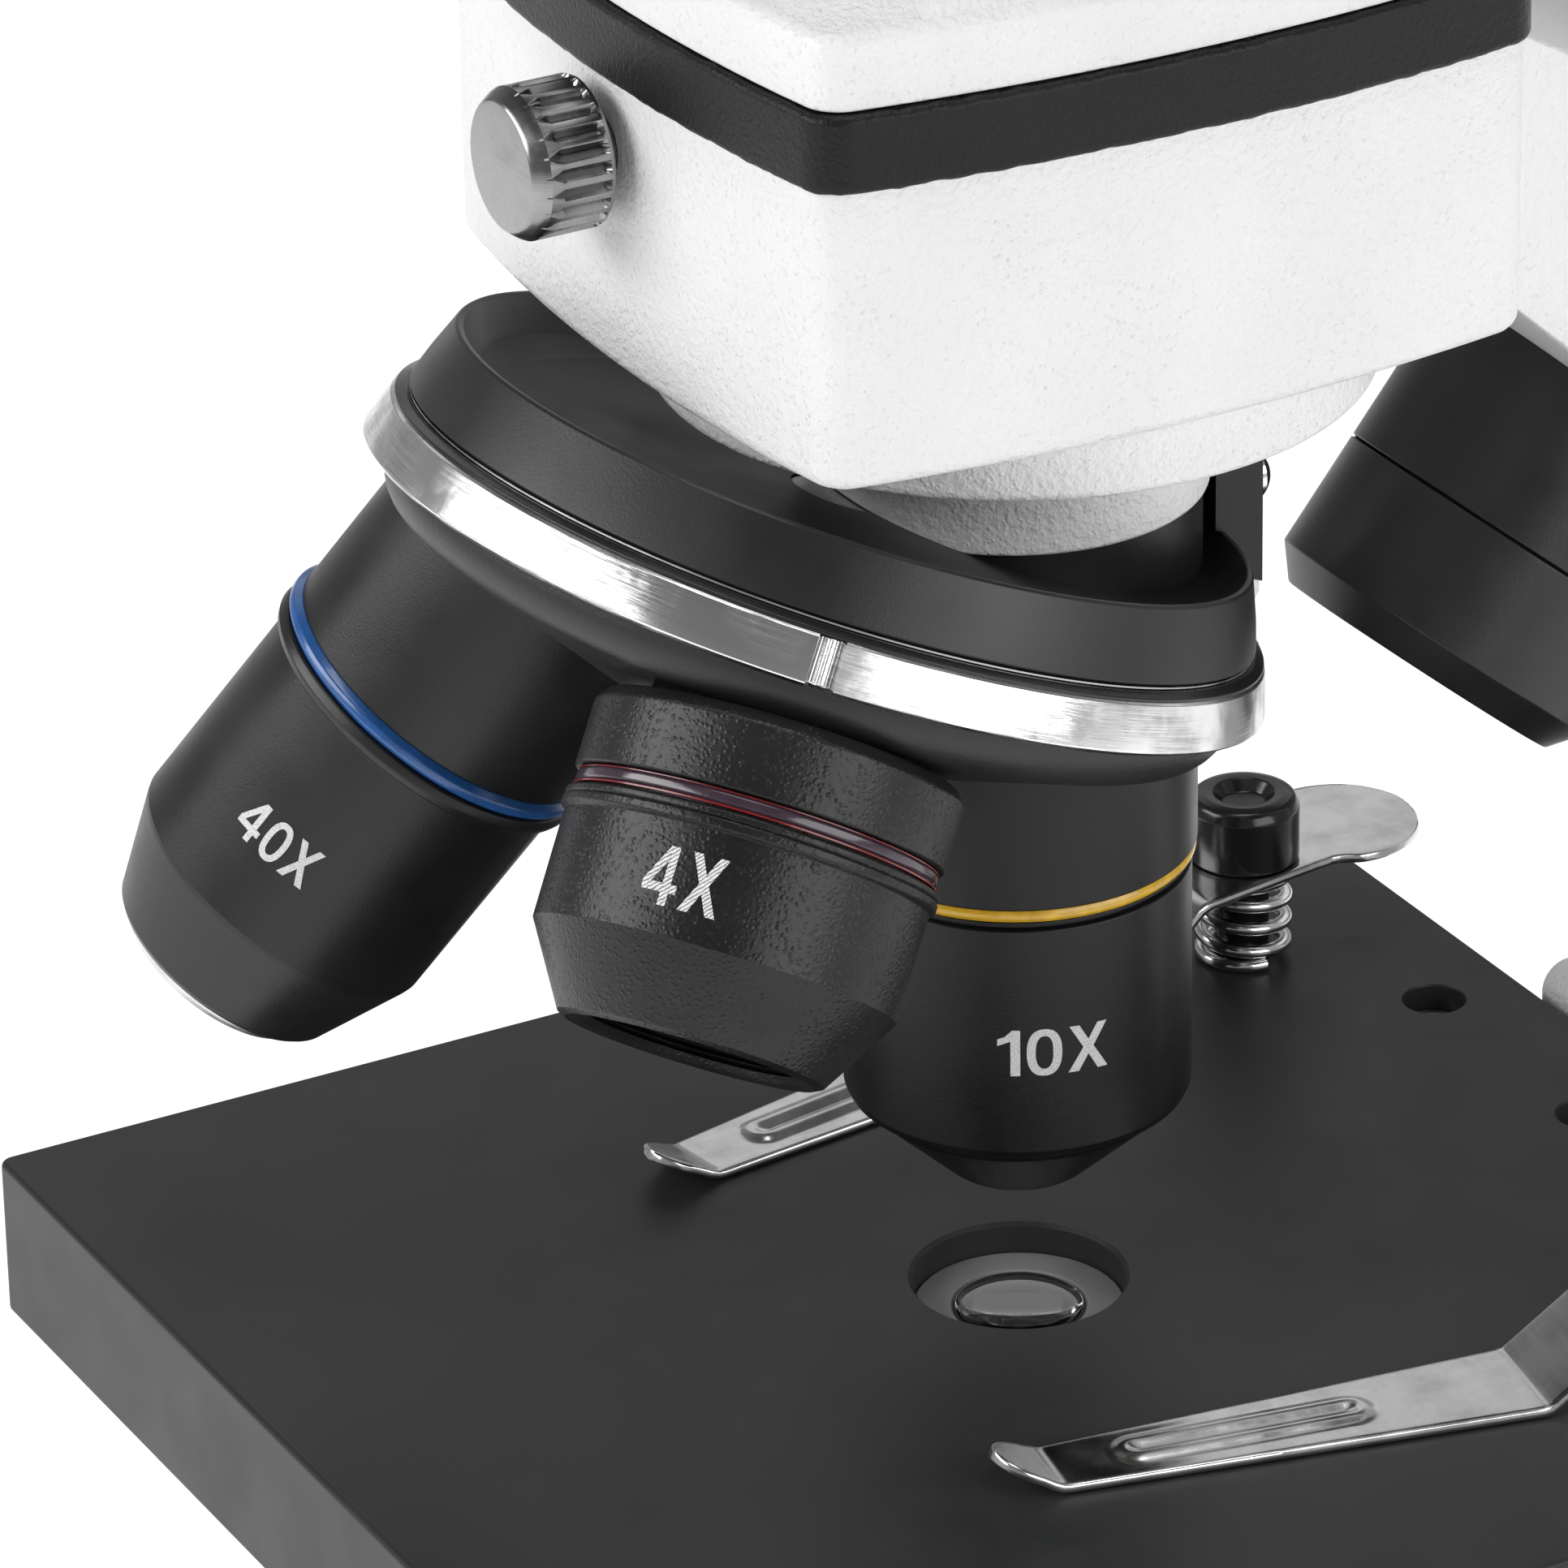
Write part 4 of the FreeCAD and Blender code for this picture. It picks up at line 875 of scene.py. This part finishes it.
def nosepiece():
    ring = [
        (25.6, 0.05), (26.9, 0.0, 0.15), (27.3, 0.3, 0.15), (27.08, 1.0), (26.76, 2.0), (26.45, 2.85, 0.1),
        (26.25, 3.0), (25.6, 3.0)
    ]
    fitted(
        "nosepiece_ring_notched", turned(ring, angles=ring_angles(NOTCH), shape=notched), TURRET,
        RING_CHROME, ["nosepiece_ring"], sharp=30
    )
    hub, rim = 6.4, 25.6
    hub_under = -TURRET_WALL - (CONE_RADIUS - hub) * SLOPE
    rim_under = -TURRET_WALL - (CONE_RADIUS - rim) * SLOPE
    cone = [(3.06, 3.0), (3.06, hub_under), (hub, hub_under, 0.4), (rim, rim_under, 2.6), (rim, 3.0)]
    turret = piece("nosepiece_turret_cone", turned(cone, 200), TURRET, TURRET_BLACK, ["nosepiece_turret"])
    holes = [cutter(rod(8.0, 30, 60, 96), station(i)) for i in range(3)]
    settle(subtract(turret, holes))
    cup = [
        (3.0, 3.6), (25.3, 3.6), (25.6, 3.8, 0.15), (25.05, 5.4), (24.1, 7.75, 0.15), (23.95, 7.9, 0.1),
        (23.65, 7.88, 0.12), (23.2, 6.9), (22.3, 5.9, 1.0), (20.4, 5.15, 2.0), (17.0, 4.9), (3.0, 4.9)
    ]
    dish = piece("nosepiece_cup_shell", turned(cup, 220), TURRET, CUP_BLACK, ["nosepiece_cup"])
    hub = cutter(turned([(6.0, 40.0), (11.0, 40.0), (11.0, 52.9), (6.0, 52.9)], 128))
    subtract(hub, [cutter(rod(40, -30, 4.2), TURRET)])
    unite(dish, [hub])
    settle(subtract(dish, [cutter(rod(7.0, 30, 60, 96))]))
    spacer = [
        (23.0, 3.02), (26.3, 3.02, 0.05), (26.3, 3.2, 0.1), (25.75, 3.42, 0.1), (25.3, 3.46), (23.0, 3.46)
    ]
    fitted("nosepiece_spacer", turned(spacer, 200), TURRET, SPACER_BLACK, ["nosepiece_spacer_ring"])
    washer = [(24.2, 3.46), (25.5, 3.5), (25.5, 3.6), (24.2, 3.6)]
    fitted("nosepiece_slip_washer", turned(washer, 200), TURRET, STEEL, [], body="stand", slot="steel")
    head = [
        (0, -14.1), (4.2, -14.1, 0.3), (5.4, -13.2, 0.5), (5.4, -11.3, 0.2), (3.0, -11.3), (3.0, 4.8, 0.2),
        (0, 4.8)
    ]
    screw = piece("nosepiece_pivot_screw", turned(head, 96), TURRET, STEEL, ["nosepiece_pivot"])
    settle(subtract(screw, [cutter(block(-6, 6, -0.6, 0.6, -15, -13.3, 0.02), TURRET)]))


CUP_BLACK = satin("cup_black", *blacks(0.01, 0.016), 0.4, 5.0, 0.012, TURRET, specular=0.5)
TURRET_BLACK = enamel("turret_black", *blacks(0.009, 0.018), 4.0, 0.03, 0.4)
SPACER_BLACK = satin("spacer_black", *blacks(0.01, 0.016), 0.22, 4.0, 0.01, TURRET)
nosepiece()


# Objectives
def barrel_piece(name, node, profile, index, material):
    """A barrel that ends against the turret's sloping underside."""
    made = piece(name, turned(profile, 176), station(index), material, [node])
    mass = turned([(0, 30), (0, -CONE_RADIUS * SLOPE), (40, (40 - CONE_RADIUS) * SLOPE), (40, 30)], 96)
    settle(subtract(made, [cutter(mass, TURRET)]))


def objectives():
    ten = [
        (2.6, 8.0), (4.0, 7.95, 0.15), (4.5, 8.3, 0.3), (9.2, 12.7), (9.35, 13.1), (10.2, 13.5, 0.2),
        (10.43, 14.0, 0.3), (10.43, 28.55, 0.12), (10.1, 28.7), (10.1, 28.85), (10.43, 28.95, 0.08),
        (10.43, 29.15, 0.08), (10.05, 29.2), (10.05, 30.0), (10.75, 30.05, 0.12), (10.75, 46.0), (2.6, 46.0)
    ]
    barrel_piece("objective_10x_tube", "objective_10x_barrel", ten, 0, SATIN_10)
    ring = [
        (10.0, 29.22), (10.5, 29.22, 0.1), (10.68, 29.45, 0.2), (10.68, 29.75, 0.2), (10.55, 29.99, 0.1),
        (10.0, 29.99)
    ]
    fitted("objective_10x_band", turned(ring, 160), HERE, YELLOW, ["objective_10x_ring"])
    four = [(5.2, 23.2), (6.1, 23.2)]
    z = 22.9
    while z > 20.7:
        four += [(6.1, z), (6.5, z - 0.16), (6.1, z - 0.32)]
        z -= 0.34
    four += [
        (6.7, 20.2, 0.1), (7.3, 20.0, 0.15), (7.8, 20.25, 0.15), (10.6, 24.85, 0.1), (10.65, 31.2, 0.1),
        (10.95, 31.4, 0.2), (10.95, 31.85, 0.12), (10.82, 31.95), (10.9, 32.05, 0.1), (10.9, 32.35, 0.12),
        (10.55, 32.5), (10.1, 32.55), (10.1, 33.6), (10.8, 33.68, 0.15), (10.8, 37.6, 0.5),
        (10.2, 38.35, 0.3), (8.0, 38.4), (8.0, 46.0), (5.2, 46.0)
    ]
    barrel_piece("objective_4x_tube", "objective_4x_barrel", four, 1, BUMPY)
    clear = [
        (10.0, 32.7), (10.42, 32.7, 0.05), (10.58, 32.9, 0.15), (10.58, 33.3, 0.15), (10.45, 33.48, 0.05),
        (10.0, 33.48)
    ]
    edge_low = [(10.05, 32.6), (10.6, 32.6), (10.6, 32.7), (10.05, 32.7)]
    edge_high = [(10.05, 33.48), (10.5, 33.48), (10.5, 33.54), (10.05, 33.54)]
    fitted("objective_4x_window", turned(clear, 160), station(1), CLEAR, ["objective_4x_ring"])
    fitted(
        "objective_4x_edges", joined(turned(edge_low, 160), turned(edge_high, 160)), station(1), RED, [],
        body="nosepiece", slot="red_ring"
    )
    forty = [
        (6.95, 5.25), (7.25, 5.1, 0.1), (7.6, 5.45, 0.3), (9.85, 11.35, 0.15), (9.95, 11.7, 0.2),
        (9.95, 25.5, 0.1), (10.45, 25.8, 0.25), (10.62, 26.2, 0.2), (10.5, 26.75, 0.15), (10.1, 26.9),
        (10.1, 27.95), (10.15, 28.05), (10.15, 46.0), (5.0, 46.0), (5.0, 16.6), (6.95, 16.6)
    ]
    barrel_piece("objective_40x_tube", "objective_40x_barrel", forty, 2, SATIN_40)
    ring = [
        (10.0, 26.92), (10.35, 26.92, 0.15), (10.62, 27.25, 0.25), (10.58, 27.65, 0.25), (10.2, 27.98, 0.1),
        (10.0, 27.98)
    ]
    fitted("objective_40x_band", turned(ring, 160), station(2), BLUE, ["objective_40x_ring"])
    nose = [
        (2.0, 3.95), (3.1, 3.9, 0.1), (3.4, 4.1, 0.1), (5.6, 4.1, 0.1), (6.2, 4.25, 0.2), (6.8, 4.8, 0.25),
        (6.8, 14.4), (4.6, 14.4), (4.6, 9.0), (2.0, 7.0)
    ]
    fitted("objective_40x_plunger", turned(nose, 144), station(2), ALUMINIUM, ["objective_40x_nose"])
    figures("objective_10x_figures", "10X", 3.0, 6.7, 10.43, 20.6, 342.2, HERE, PRINT)
    figures("objective_4x_figures", "4X", 3.35, 4.6, 10.62, 28.1, FIGURES_4X_ANGLE, station(1), HATCHED)
    figures("objective_40x_figures", "40X", 2.7, 5.6, 9.95, 17.6, 190.3, station(2), PRINT)


BUMPY = pimpled("bumpy_black", *blacks(0.006, 0.013))
HATCHED = hatched("white_hatched_print", (0.8, 0.8, 0.8))
SATIN_10 = satin("black_anodised_10x", *blacks(0.006, 0.011), 0.33, 8.0, 0.012, HERE, 0.3, specular=0.32)
SATIN_40 = satin(
    "black_anodised_40x", *blacks(0.008, 0.014), 0.36, 8.0, 0.012, station(2), 0.3, specular=0.45
)
objectives()


# Clips
def clip_path(s):
    """(y, z) and slope of the blade's underside at arc length s behind (+) or ahead (-) of the pivot."""
    corners = [(14.0, 6.5), (-6.4, 6.5), (-14.9, 0.1), (-45.0, 0.1), (-48.9, 2.05)]
    points = bend_corners([(y, z, 1.4) for y, z in corners], closed=False, step=5)
    at = 14.0
    for a, b in zip(points, points[1:]):
        size = math.hypot(b[0] - a[0], b[1] - a[1])
        if s >= at - size or b is points[-1]:
            t = (at - s) / size
            slope = ((b[0] - a[0]) / size, (b[1] - a[1]) / size)
            return a[0] + (b[0] - a[0]) * t, a[1] + (b[1] - a[1]) * t, slope
        at -= size


def clip_width(s):
    """Half-width of the blade at arc length s, with its round tip and tail."""
    tip, taper, neck, disc_at, disc_radius = -48.0, -17.0, 3.2, 7.9, 5.4
    if s < tip:
        return 2.2 * math.sqrt(max(0.0, 1 - ((tip - s) / 3.2) ** 2.4))
    if s > neck:
        disc = math.sqrt(max(0.0, disc_radius**2 - (s - disc_at) ** 2))
        blend = min(max((s - neck) / 2.5, 0), 1)
        return disc if s > disc_at else 3.95 + (max(disc, 3.95) - 3.95) * blend
    if s > taper:
        return 3.9
    return 3.9 - (s - taper) / (tip - taper) * 1.5


def clip_rib(x, s):
    """Depth of the pressed rib: a long oval ridge round a shallow floor."""
    along = max(abs(s + 35.0) - 6.6, 0)
    distance = math.hypot(x, along)
    if distance > 1.7:
        return 0.0
    return 0.34 * math.sin(math.pi * min(distance / 1.7, 1)) ** 1.5


def clip_blade(side, sign):
    """A sprung blade, lofted from sections along clip_path."""
    thick = 0.6
    stations = [-51.2, -51.15, -51.0, -50.8, -50.5, -50.1, -49.6, -49.0]
    s = -48.4
    while s < 13.2:
        stations.append(s)
        s += 0.3 if -44.5 < s < -25.5 or 3.0 < s < 13.0 else 0.6
    stations += [13.24, 13.28, 13.3]
    flank = [0.78, 0.88, 0.95, 0.985, 1.0]
    columns = [-c for c in reversed(flank)] + [k / 14 for k in range(-10, 11)] + flank
    rings = []
    for s in stations:
        half = max(clip_width(s), 0.05)
        y, z, (dy, dz) = clip_path(s)
        ring = []
        for top in (True, False):
            for c in columns if top else reversed(columns):
                x = c * half
                border = 0.25 / max(half, 0.3)
                edge = max(0.0, abs(c) - 1 + border) / border
                round_off = 0.22 * (1 - math.sqrt(max(0.0, 1 - edge * edge)))
                h = (thick - round_off if top else round_off * 0.6) + clip_rib(x, s)
                ring.append((x, y + dz * h, z - dy * h))
        rings.append(ring)
    place = POSTS[side] @ about_z(-10.0 * sign)
    made = piece(f"clip_{side}_blade", loft(rings), place, CLIP_CHROME, [f"clip_{side}"], sharp=50)
    settle(subtract(made, [cutter(rod(2.3, 5, 9, 48), place)]))


def clips():
    """Blades, coils with flat ends, and the posts' caps."""
    turns, count, radius = 4.3, 190, 2.75
    for side, sign in (("left", -1), ("right", 1)):
        clip_blade(side, sign)
        points = []
        for i in range(count + 1):
            t = i / count
            a = 2 * math.pi * turns * t * sign
            rise = 0.46 + 5.56 * min(max((t - 0.1) / 0.8, 0), 1)
            points.append((radius * math.cos(a), radius * math.sin(a), rise))
        coil = tube_along(points, 0.45)
        spring = fitted(f"clip_{side}_coil", coil, POSTS[side], CHROME, [f"clip_spring_{side}"])
        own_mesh(spring)
    cap = [
        (0, 7.15), (3.4, 7.15, 0.2), (3.6, 7.4), (3.6, 10.8, 0.5), (3.3, 11.5, 0.6), (2.6, 11.7, 0.3),
        (2.0, 11.65, 0.2), (1.4, 10.9, 0.3), (0, 10.7)
    ]
    pin = rod(1.68, -8, 7.2)
    shapes = [placed(shape, post) for post in POSTS.values() for shape in (turned(cap, 96), pin)]
    fitted("clip_post_caps", joined(*shapes), HERE, GLOSS_CAP, ["clip_posts"])


CLIP_CHROME = bright("clip_chrome", (0.8, 0.8, 0.8), 0.17, HERE, 0.0, 0.25)
GLOSS_CAP = satin("black_gloss_cap", *blacks(0.008, 0.014), 0.18, 4.0, 0.008)
clips()


# Stage
CONDENSER = glass("condenser_glass", (0.8, 0.82, 0.82), (0.85, 0.85, 0.85))


def stage():
    outline = bend_corners([(-45, -47.5, 0.9), (45, -47.5, 0.9), (45, 47.1, 0.9), (-45, 47.1, 0.9)])
    plate = piece(
        "stage_plate_finished", along_outline(outline, soft_levels(-10.5, 0, 0.3, 0.35, 3)), HERE, STAGE,
        ["stage_plate"]
    )
    cuts = [cutter(turned([(0, -12), (6.5, -12), (6.5, -0.25), (7.0, 0.3), (0, 0.3)], 128))]
    sink = turned([(0, -6.5), (1.95, -6.5), (1.95, -0.2), (2.3, 0.3), (0, 0.3)], 48)
    cuts += [cutter(sink, place) for place in STAGE_SCREWS]
    for post in POSTS.values():
        cuts.append(cutter(rod(1.75, -12, 1, 48), post))
    settle(subtract(plate, cuts))
    head = [
        (0, -2.9), (0.9, -2.9), (0.9, -1.7), (1.05, -1.6), (1.6, -1.6, 0.1), (1.8, -1.8), (1.8, -6.5),
        (1.2, -6.5), (1.2, -15), (0, -15)
    ]
    shapes = [placed(turned(head, 48), place) for place in STAGE_SCREWS]
    fitted("stage_screw_set", joined(*shapes), HERE, STEEL, ["stage_screws"])
    cell = [
        (3.6, -10.5), (6.45, -10.5), (6.45, -2.05, 0.1), (6.3, -2.0), (4.25, -2.0, 0.1), (4.02, -2.2),
        (4.02, -3.6), (3.6, -3.6)
    ]
    # Pale grey on the condenser cell: painted light in place of the light that falls on it.
    fitted("condenser_cell", turned(cell, 128), HERE, CELL_PAINTED_LIGHT, ["condenser_ring"])
    dome = [(0, -3.58), (3.95, -3.58, 0.1), (3.98, -2.2, 0.15)]
    for k in range(1, 13):
        t = k / 12
        dome.append((3.98 * math.cos(math.pi / 2 * t), -2.15 + 0.85 * math.sin(math.pi / 2 * t)))
    dome[-1] = (0, -1.3)
    fitted("condenser_dome", turned(dome, 128), HERE, CONDENSER, ["condenser_lens"], sharp=60)


stage()


# Upper lamp
def upper_lamp():
    face, seam, root = 44.1, 53.6, 63.4
    barrel = [
        (8.2, face + 0.1), (8.35, face, 0.1), (9.2, face, 0.25), (10.8, face + 2.0, 0.3),
        (10.8, seam - 0.12, 0.1), (10.55, seam), (8.6, seam), (8.6, face + 2.6), (8.2, face + 2.6)
    ]
    fitted("upper_lamp_nose", turned(barrel, 160), LAMP, SATIN_LAMP, ["upper_lamp_barrel"])
    collar = [
        (0, seam), (10.55, seam), (10.8, seam + 0.12, 0.1), (10.8, root + 1.2), (4.0, root + 1.2),
        (4.0, root + 6.8), (0, root + 6.8)
    ]
    fitted("upper_lamp_root", turned(collar, 160), LAMP, SATIN_LAMP, ["upper_lamp_collar"])


SATIN_LAMP = satin("black_lamp", *blacks(0.012, 0.02), 0.36, 8.0, 0.01, LAMP, 0.2)
upper_lamp()


# Arm
def arm():
    outline = bend_corners(
        [
            (20.9, 82.8), (48.0, 68.6, 40), (84.0, 36.0, 60), (95.0, -30.0, 60), (95.0, -90.0, 0.8),
            (48.0, -90.0, 0.8), (48.0, 1.5, 2.2), (60.5, 1.5, 3.0), (60.5, 29.8, 18), (20.9, 67.0)
        ],
        step=4,
    )

    def weight(y, z):
        """The edges stay square where the arm runs into the head block."""
        return 0.0 if y < 21.5 else 1.0

    levels = both_sides([(17.0, 1.0), (16.85, 0.62), (16.6, 0.32), (16.25, 0.1), (15.8, 0.0)])
    made = piece("arm_casting", along_outline(outline, levels, weight), SIDEWAYS, WHITE, ["arm"])
    cuts = [
        cutter(block(-9, 9, 47, 64.5, -86, -8, 0.3)),
        cutter(rod(7.4, -9, 9), FOCUS @ ALONG_X),
        cutter(rod(5.0, -20, 20), FOCUS @ ALONG_X),
    ]
    settle(subtract(made, cuts))


arm()


# Monocular head
def monocular():
    shell = along_outline(head_plan(), soft_levels(88.2, 92.5, 0.2, 0.9))
    slopes = ((0.985, 91.8), (0.968, 92.4), (0.8, 95.4), (0.62, 98.6))
    roof = loft([[(x * k, y * k, z) for x, y in head_plan()] for k, z in slopes])
    side = bend_corners(
        [(-17.0, 94.5), (-15.0, 102.0, 3), (4.6, 128.6, 4), (25.8, 107.4, 4), (19.0, 94.5)], step=6
    )
    levels = both_sides([(15.2, 2.0), (15.0, 1.2), (14.5, 0.5), (13.8, 0.1), (13.2, 0.0)])
    house = placed(along_outline(side, levels), SIDEWAYS)
    collar = placed(turned([(0, 18), (15.0, 18), (15.0, 23.4, 0.6), (13.3, 24.0, 0.3), (0, 24.0)], 128), TUBE)
    dovetail = turned([(0, 76.5), (15.9, 76.5, 0.4), (15.9, 89), (0, 89)], 128)
    made = piece("monocular_head_shell", shell, HERE, WHITE, ["monocular_head"])
    settle(unite(made, [cutter(part) for part in (roof, house, collar, dovetail)]))
    tube = turned(
        [
            (9.0, 17), (13.2, 17), (13.2, 65.4, 0.4), (12.6, 66.0, 0.3), (11.65, 66.0, 0.2), (11.65, 20),
            (9.0, 20)
        ],
        128
    )
    fitted("eyepiece_tube_barrel", tube, TUBE, BLACK_TUBE, ["eyepiece_tube"])
    profile = [(10.3, 40), (11.59, 40, 0.3), (11.59, 66.2), (14.0, 66.2, 0.3), (14.4, 66.9)]
    for k in range(12):
        z = 68.4 + 0.7 * k
        profile += [(14.4, z - 0.2), (14.1, z - 0.05), (14.1, z + 0.15), (14.4, z + 0.3)]
    profile += [
        (14.4, 77.2, 0.3), (13.6, 78.2, 0.4), (13.0, 83.0, 1.0), (12.0, 86.0, 0.7), (9.9, 86.0, 0.6),
        (9.0, 84.2, 0.3), (9.0, 75), (10.3, 72)
    ]
    fitted("eyepiece_body_moulded", turned(profile, 128), TUBE, PLASTIC, ["eyepiece_body"])


BLACK_TUBE = satin("black_tube", *blacks(0.012, 0.02), 0.32, 8.0, 0.01, TUBE, 0.3)
monocular()


# Focus knobs
def knobs():
    def ribbed(count, inside, outside, low, high, depth):
        """Rounded ribs between two radii and two heights."""
        def shape(angle, r, z):
            if not (inside < r <= outside and low < z < high):
                return r
            return r - depth * (0.5 - 0.5 * math.cos(angle * count)) ** 0.6

        return shape

    coarse = [
        (3.0, 17.5), (17.6, 17.5, 0.5), (18.2, 18.6, 0.3), (19.9, 18.9, 0.4), (20.0, 19.4), (20.0, 24.0),
        (20.0, 29.2), (19.7, 30.0, 0.4), (18.3, 31.0, 0.6), (14.0, 31.0, 0.5), (13.2, 30.2, 0.4), (3.0, 30.2)
    ]
    fine = [
        (1.5, 31.4), (10.6, 31.4, 0.4), (11.0, 32.2, 0.3), (11.95, 32.4, 0.3), (12.0, 32.9), (12.0, 41.0),
        (11.7, 41.8, 0.3), (10.6, 42.5, 0.5), (7.5, 42.5, 0.4), (6.8, 41.8, 0.3), (0, 41.8), (0, 40),
        (1.5, 40)
    ]
    for name, profile, r, count, low, high, depth in (
        ("coarse_knobs", coarse, 20.0, 60, 19.1, 29.9, 0.7),
        ("fine_knobs", fine, 12.0, 44, 32.5, 41.6, 0.5),
    ):
        form = turned(profile, count * 10, ribbed(count, r - 0.6, r + 0.1, low, high, depth))
        sides = [placed(form, side @ ALONG_X) for side in (HERE, Matrix.Scale(-1, 4, (1, 0, 0)))]
        fitted(f"{name}_ribbed", joined(*sides), FOCUS, KNOB_BLACK, [name], sharp=30)


KNOB_BLACK = enamel("knob_black", *blacks(0.014, 0.026), 4.5, 0.02, 0.42)
knobs()


# Studio
bpy.context.scene.view_settings.view_transform = "Standard"
floor_mesh = bpy.data.meshes.new("floor")
floor_mesh.from_pydata([(-3, -3, 0), (3, -3, 0), (3, 3, 0), (-3, 3, 0)], [], [(0, 1, 2, 3)])
floor = show(bpy.data.objects.new("floor", floor_mesh))
floor_look = Nodes("pale_floor")
tone = floor_look.noise(floor_look.coords(), 0.02, 2)
floor_mesh.materials.append(
    floor_look.done(
        floor_look.ramp(tone, [(0.3, 0.88), (0.7, 0.9)]), 0.8, None, Emission_Color=(1, 1, 1, 1),
        Emission_Strength=0.55
    )
)

world = bpy.data.worlds.new("studio")
bpy.context.scene.world = world
world.use_nodes = True
world_nodes = world.node_tree
direction = world_nodes.nodes.new("ShaderNodeTexCoord").outputs["Generated"]
split = world_nodes.nodes.new("ShaderNodeSeparateXYZ")
world_nodes.links.new(direction, split.inputs[0])
sky = world_nodes.nodes.new("ShaderNodeValToRGB")
sky.color_ramp.elements[0].color = (1, 1, 1, 1)
sky.color_ramp.elements[1].color = (0.22, 0.22, 0.22, 1)
world_nodes.links.new(split.outputs["Z"], sky.inputs["Fac"])
background = world_nodes.nodes["Background"]
background.inputs["Strength"].default_value = 0.3
world_nodes.links.new(sky.outputs["Color"], background.inputs["Color"])


def softbox(name, spot, aim, width, height, power):
    light = bpy.data.lights.new(name, "AREA")
    light.shape = "RECTANGLE"
    light.size = width
    light.size_y = height
    light.energy = power
    lamp = show(bpy.data.objects.new(name, light))
    lamp.location = spot
    lamp.rotation_euler = (Vector(aim) - Vector(spot)).to_track_quat("-Z", "Y").to_euler()


HEAD = (0, -0.02, 0.17)
softbox("front_left", (-0.16, -0.72, 0.56), HEAD, 0.85, 0.34, 4.8)
softbox("right", (0.72, 0.28, 0.44), HEAD, 0.85, 0.4, 3.3)
softbox("top", (0.1, 0.0, 0.95), HEAD, 0.4, 0.4, 2.0)
softbox("far_side", (-0.66, 0.38, 0.6), HEAD, 0.75, 0.5, 0.5)


CAMERA_AT = Vector((428.946, -245.062, 274.518))
CAMERA_AHEAD = Vector((-0.792256, 0.423985, -0.438825)).normalized()
CAMERA_RIGHT = Vector((0.47893, 0.877695, -0.016648)).normalized()
SENSOR_WIDTH = 36.0
FOCAL_LENGTH = 213.807764


def camera():
    data = bpy.data.cameras.new("camera")
    data.sensor_width = SENSOR_WIDTH
    data.lens = FOCAL_LENGTH
    data.clip_start = 0.01
    eye = show(bpy.data.objects.new("camera", data))
    up = CAMERA_RIGHT.cross(CAMERA_AHEAD).normalized()
    turn = Matrix((CAMERA_RIGHT, up, -CAMERA_AHEAD)).transposed().to_4x4()
    eye.matrix_world = Matrix.Translation(TO_ROW @ CAMERA_AT) @ turn
    bpy.context.scene.camera = eye


camera()
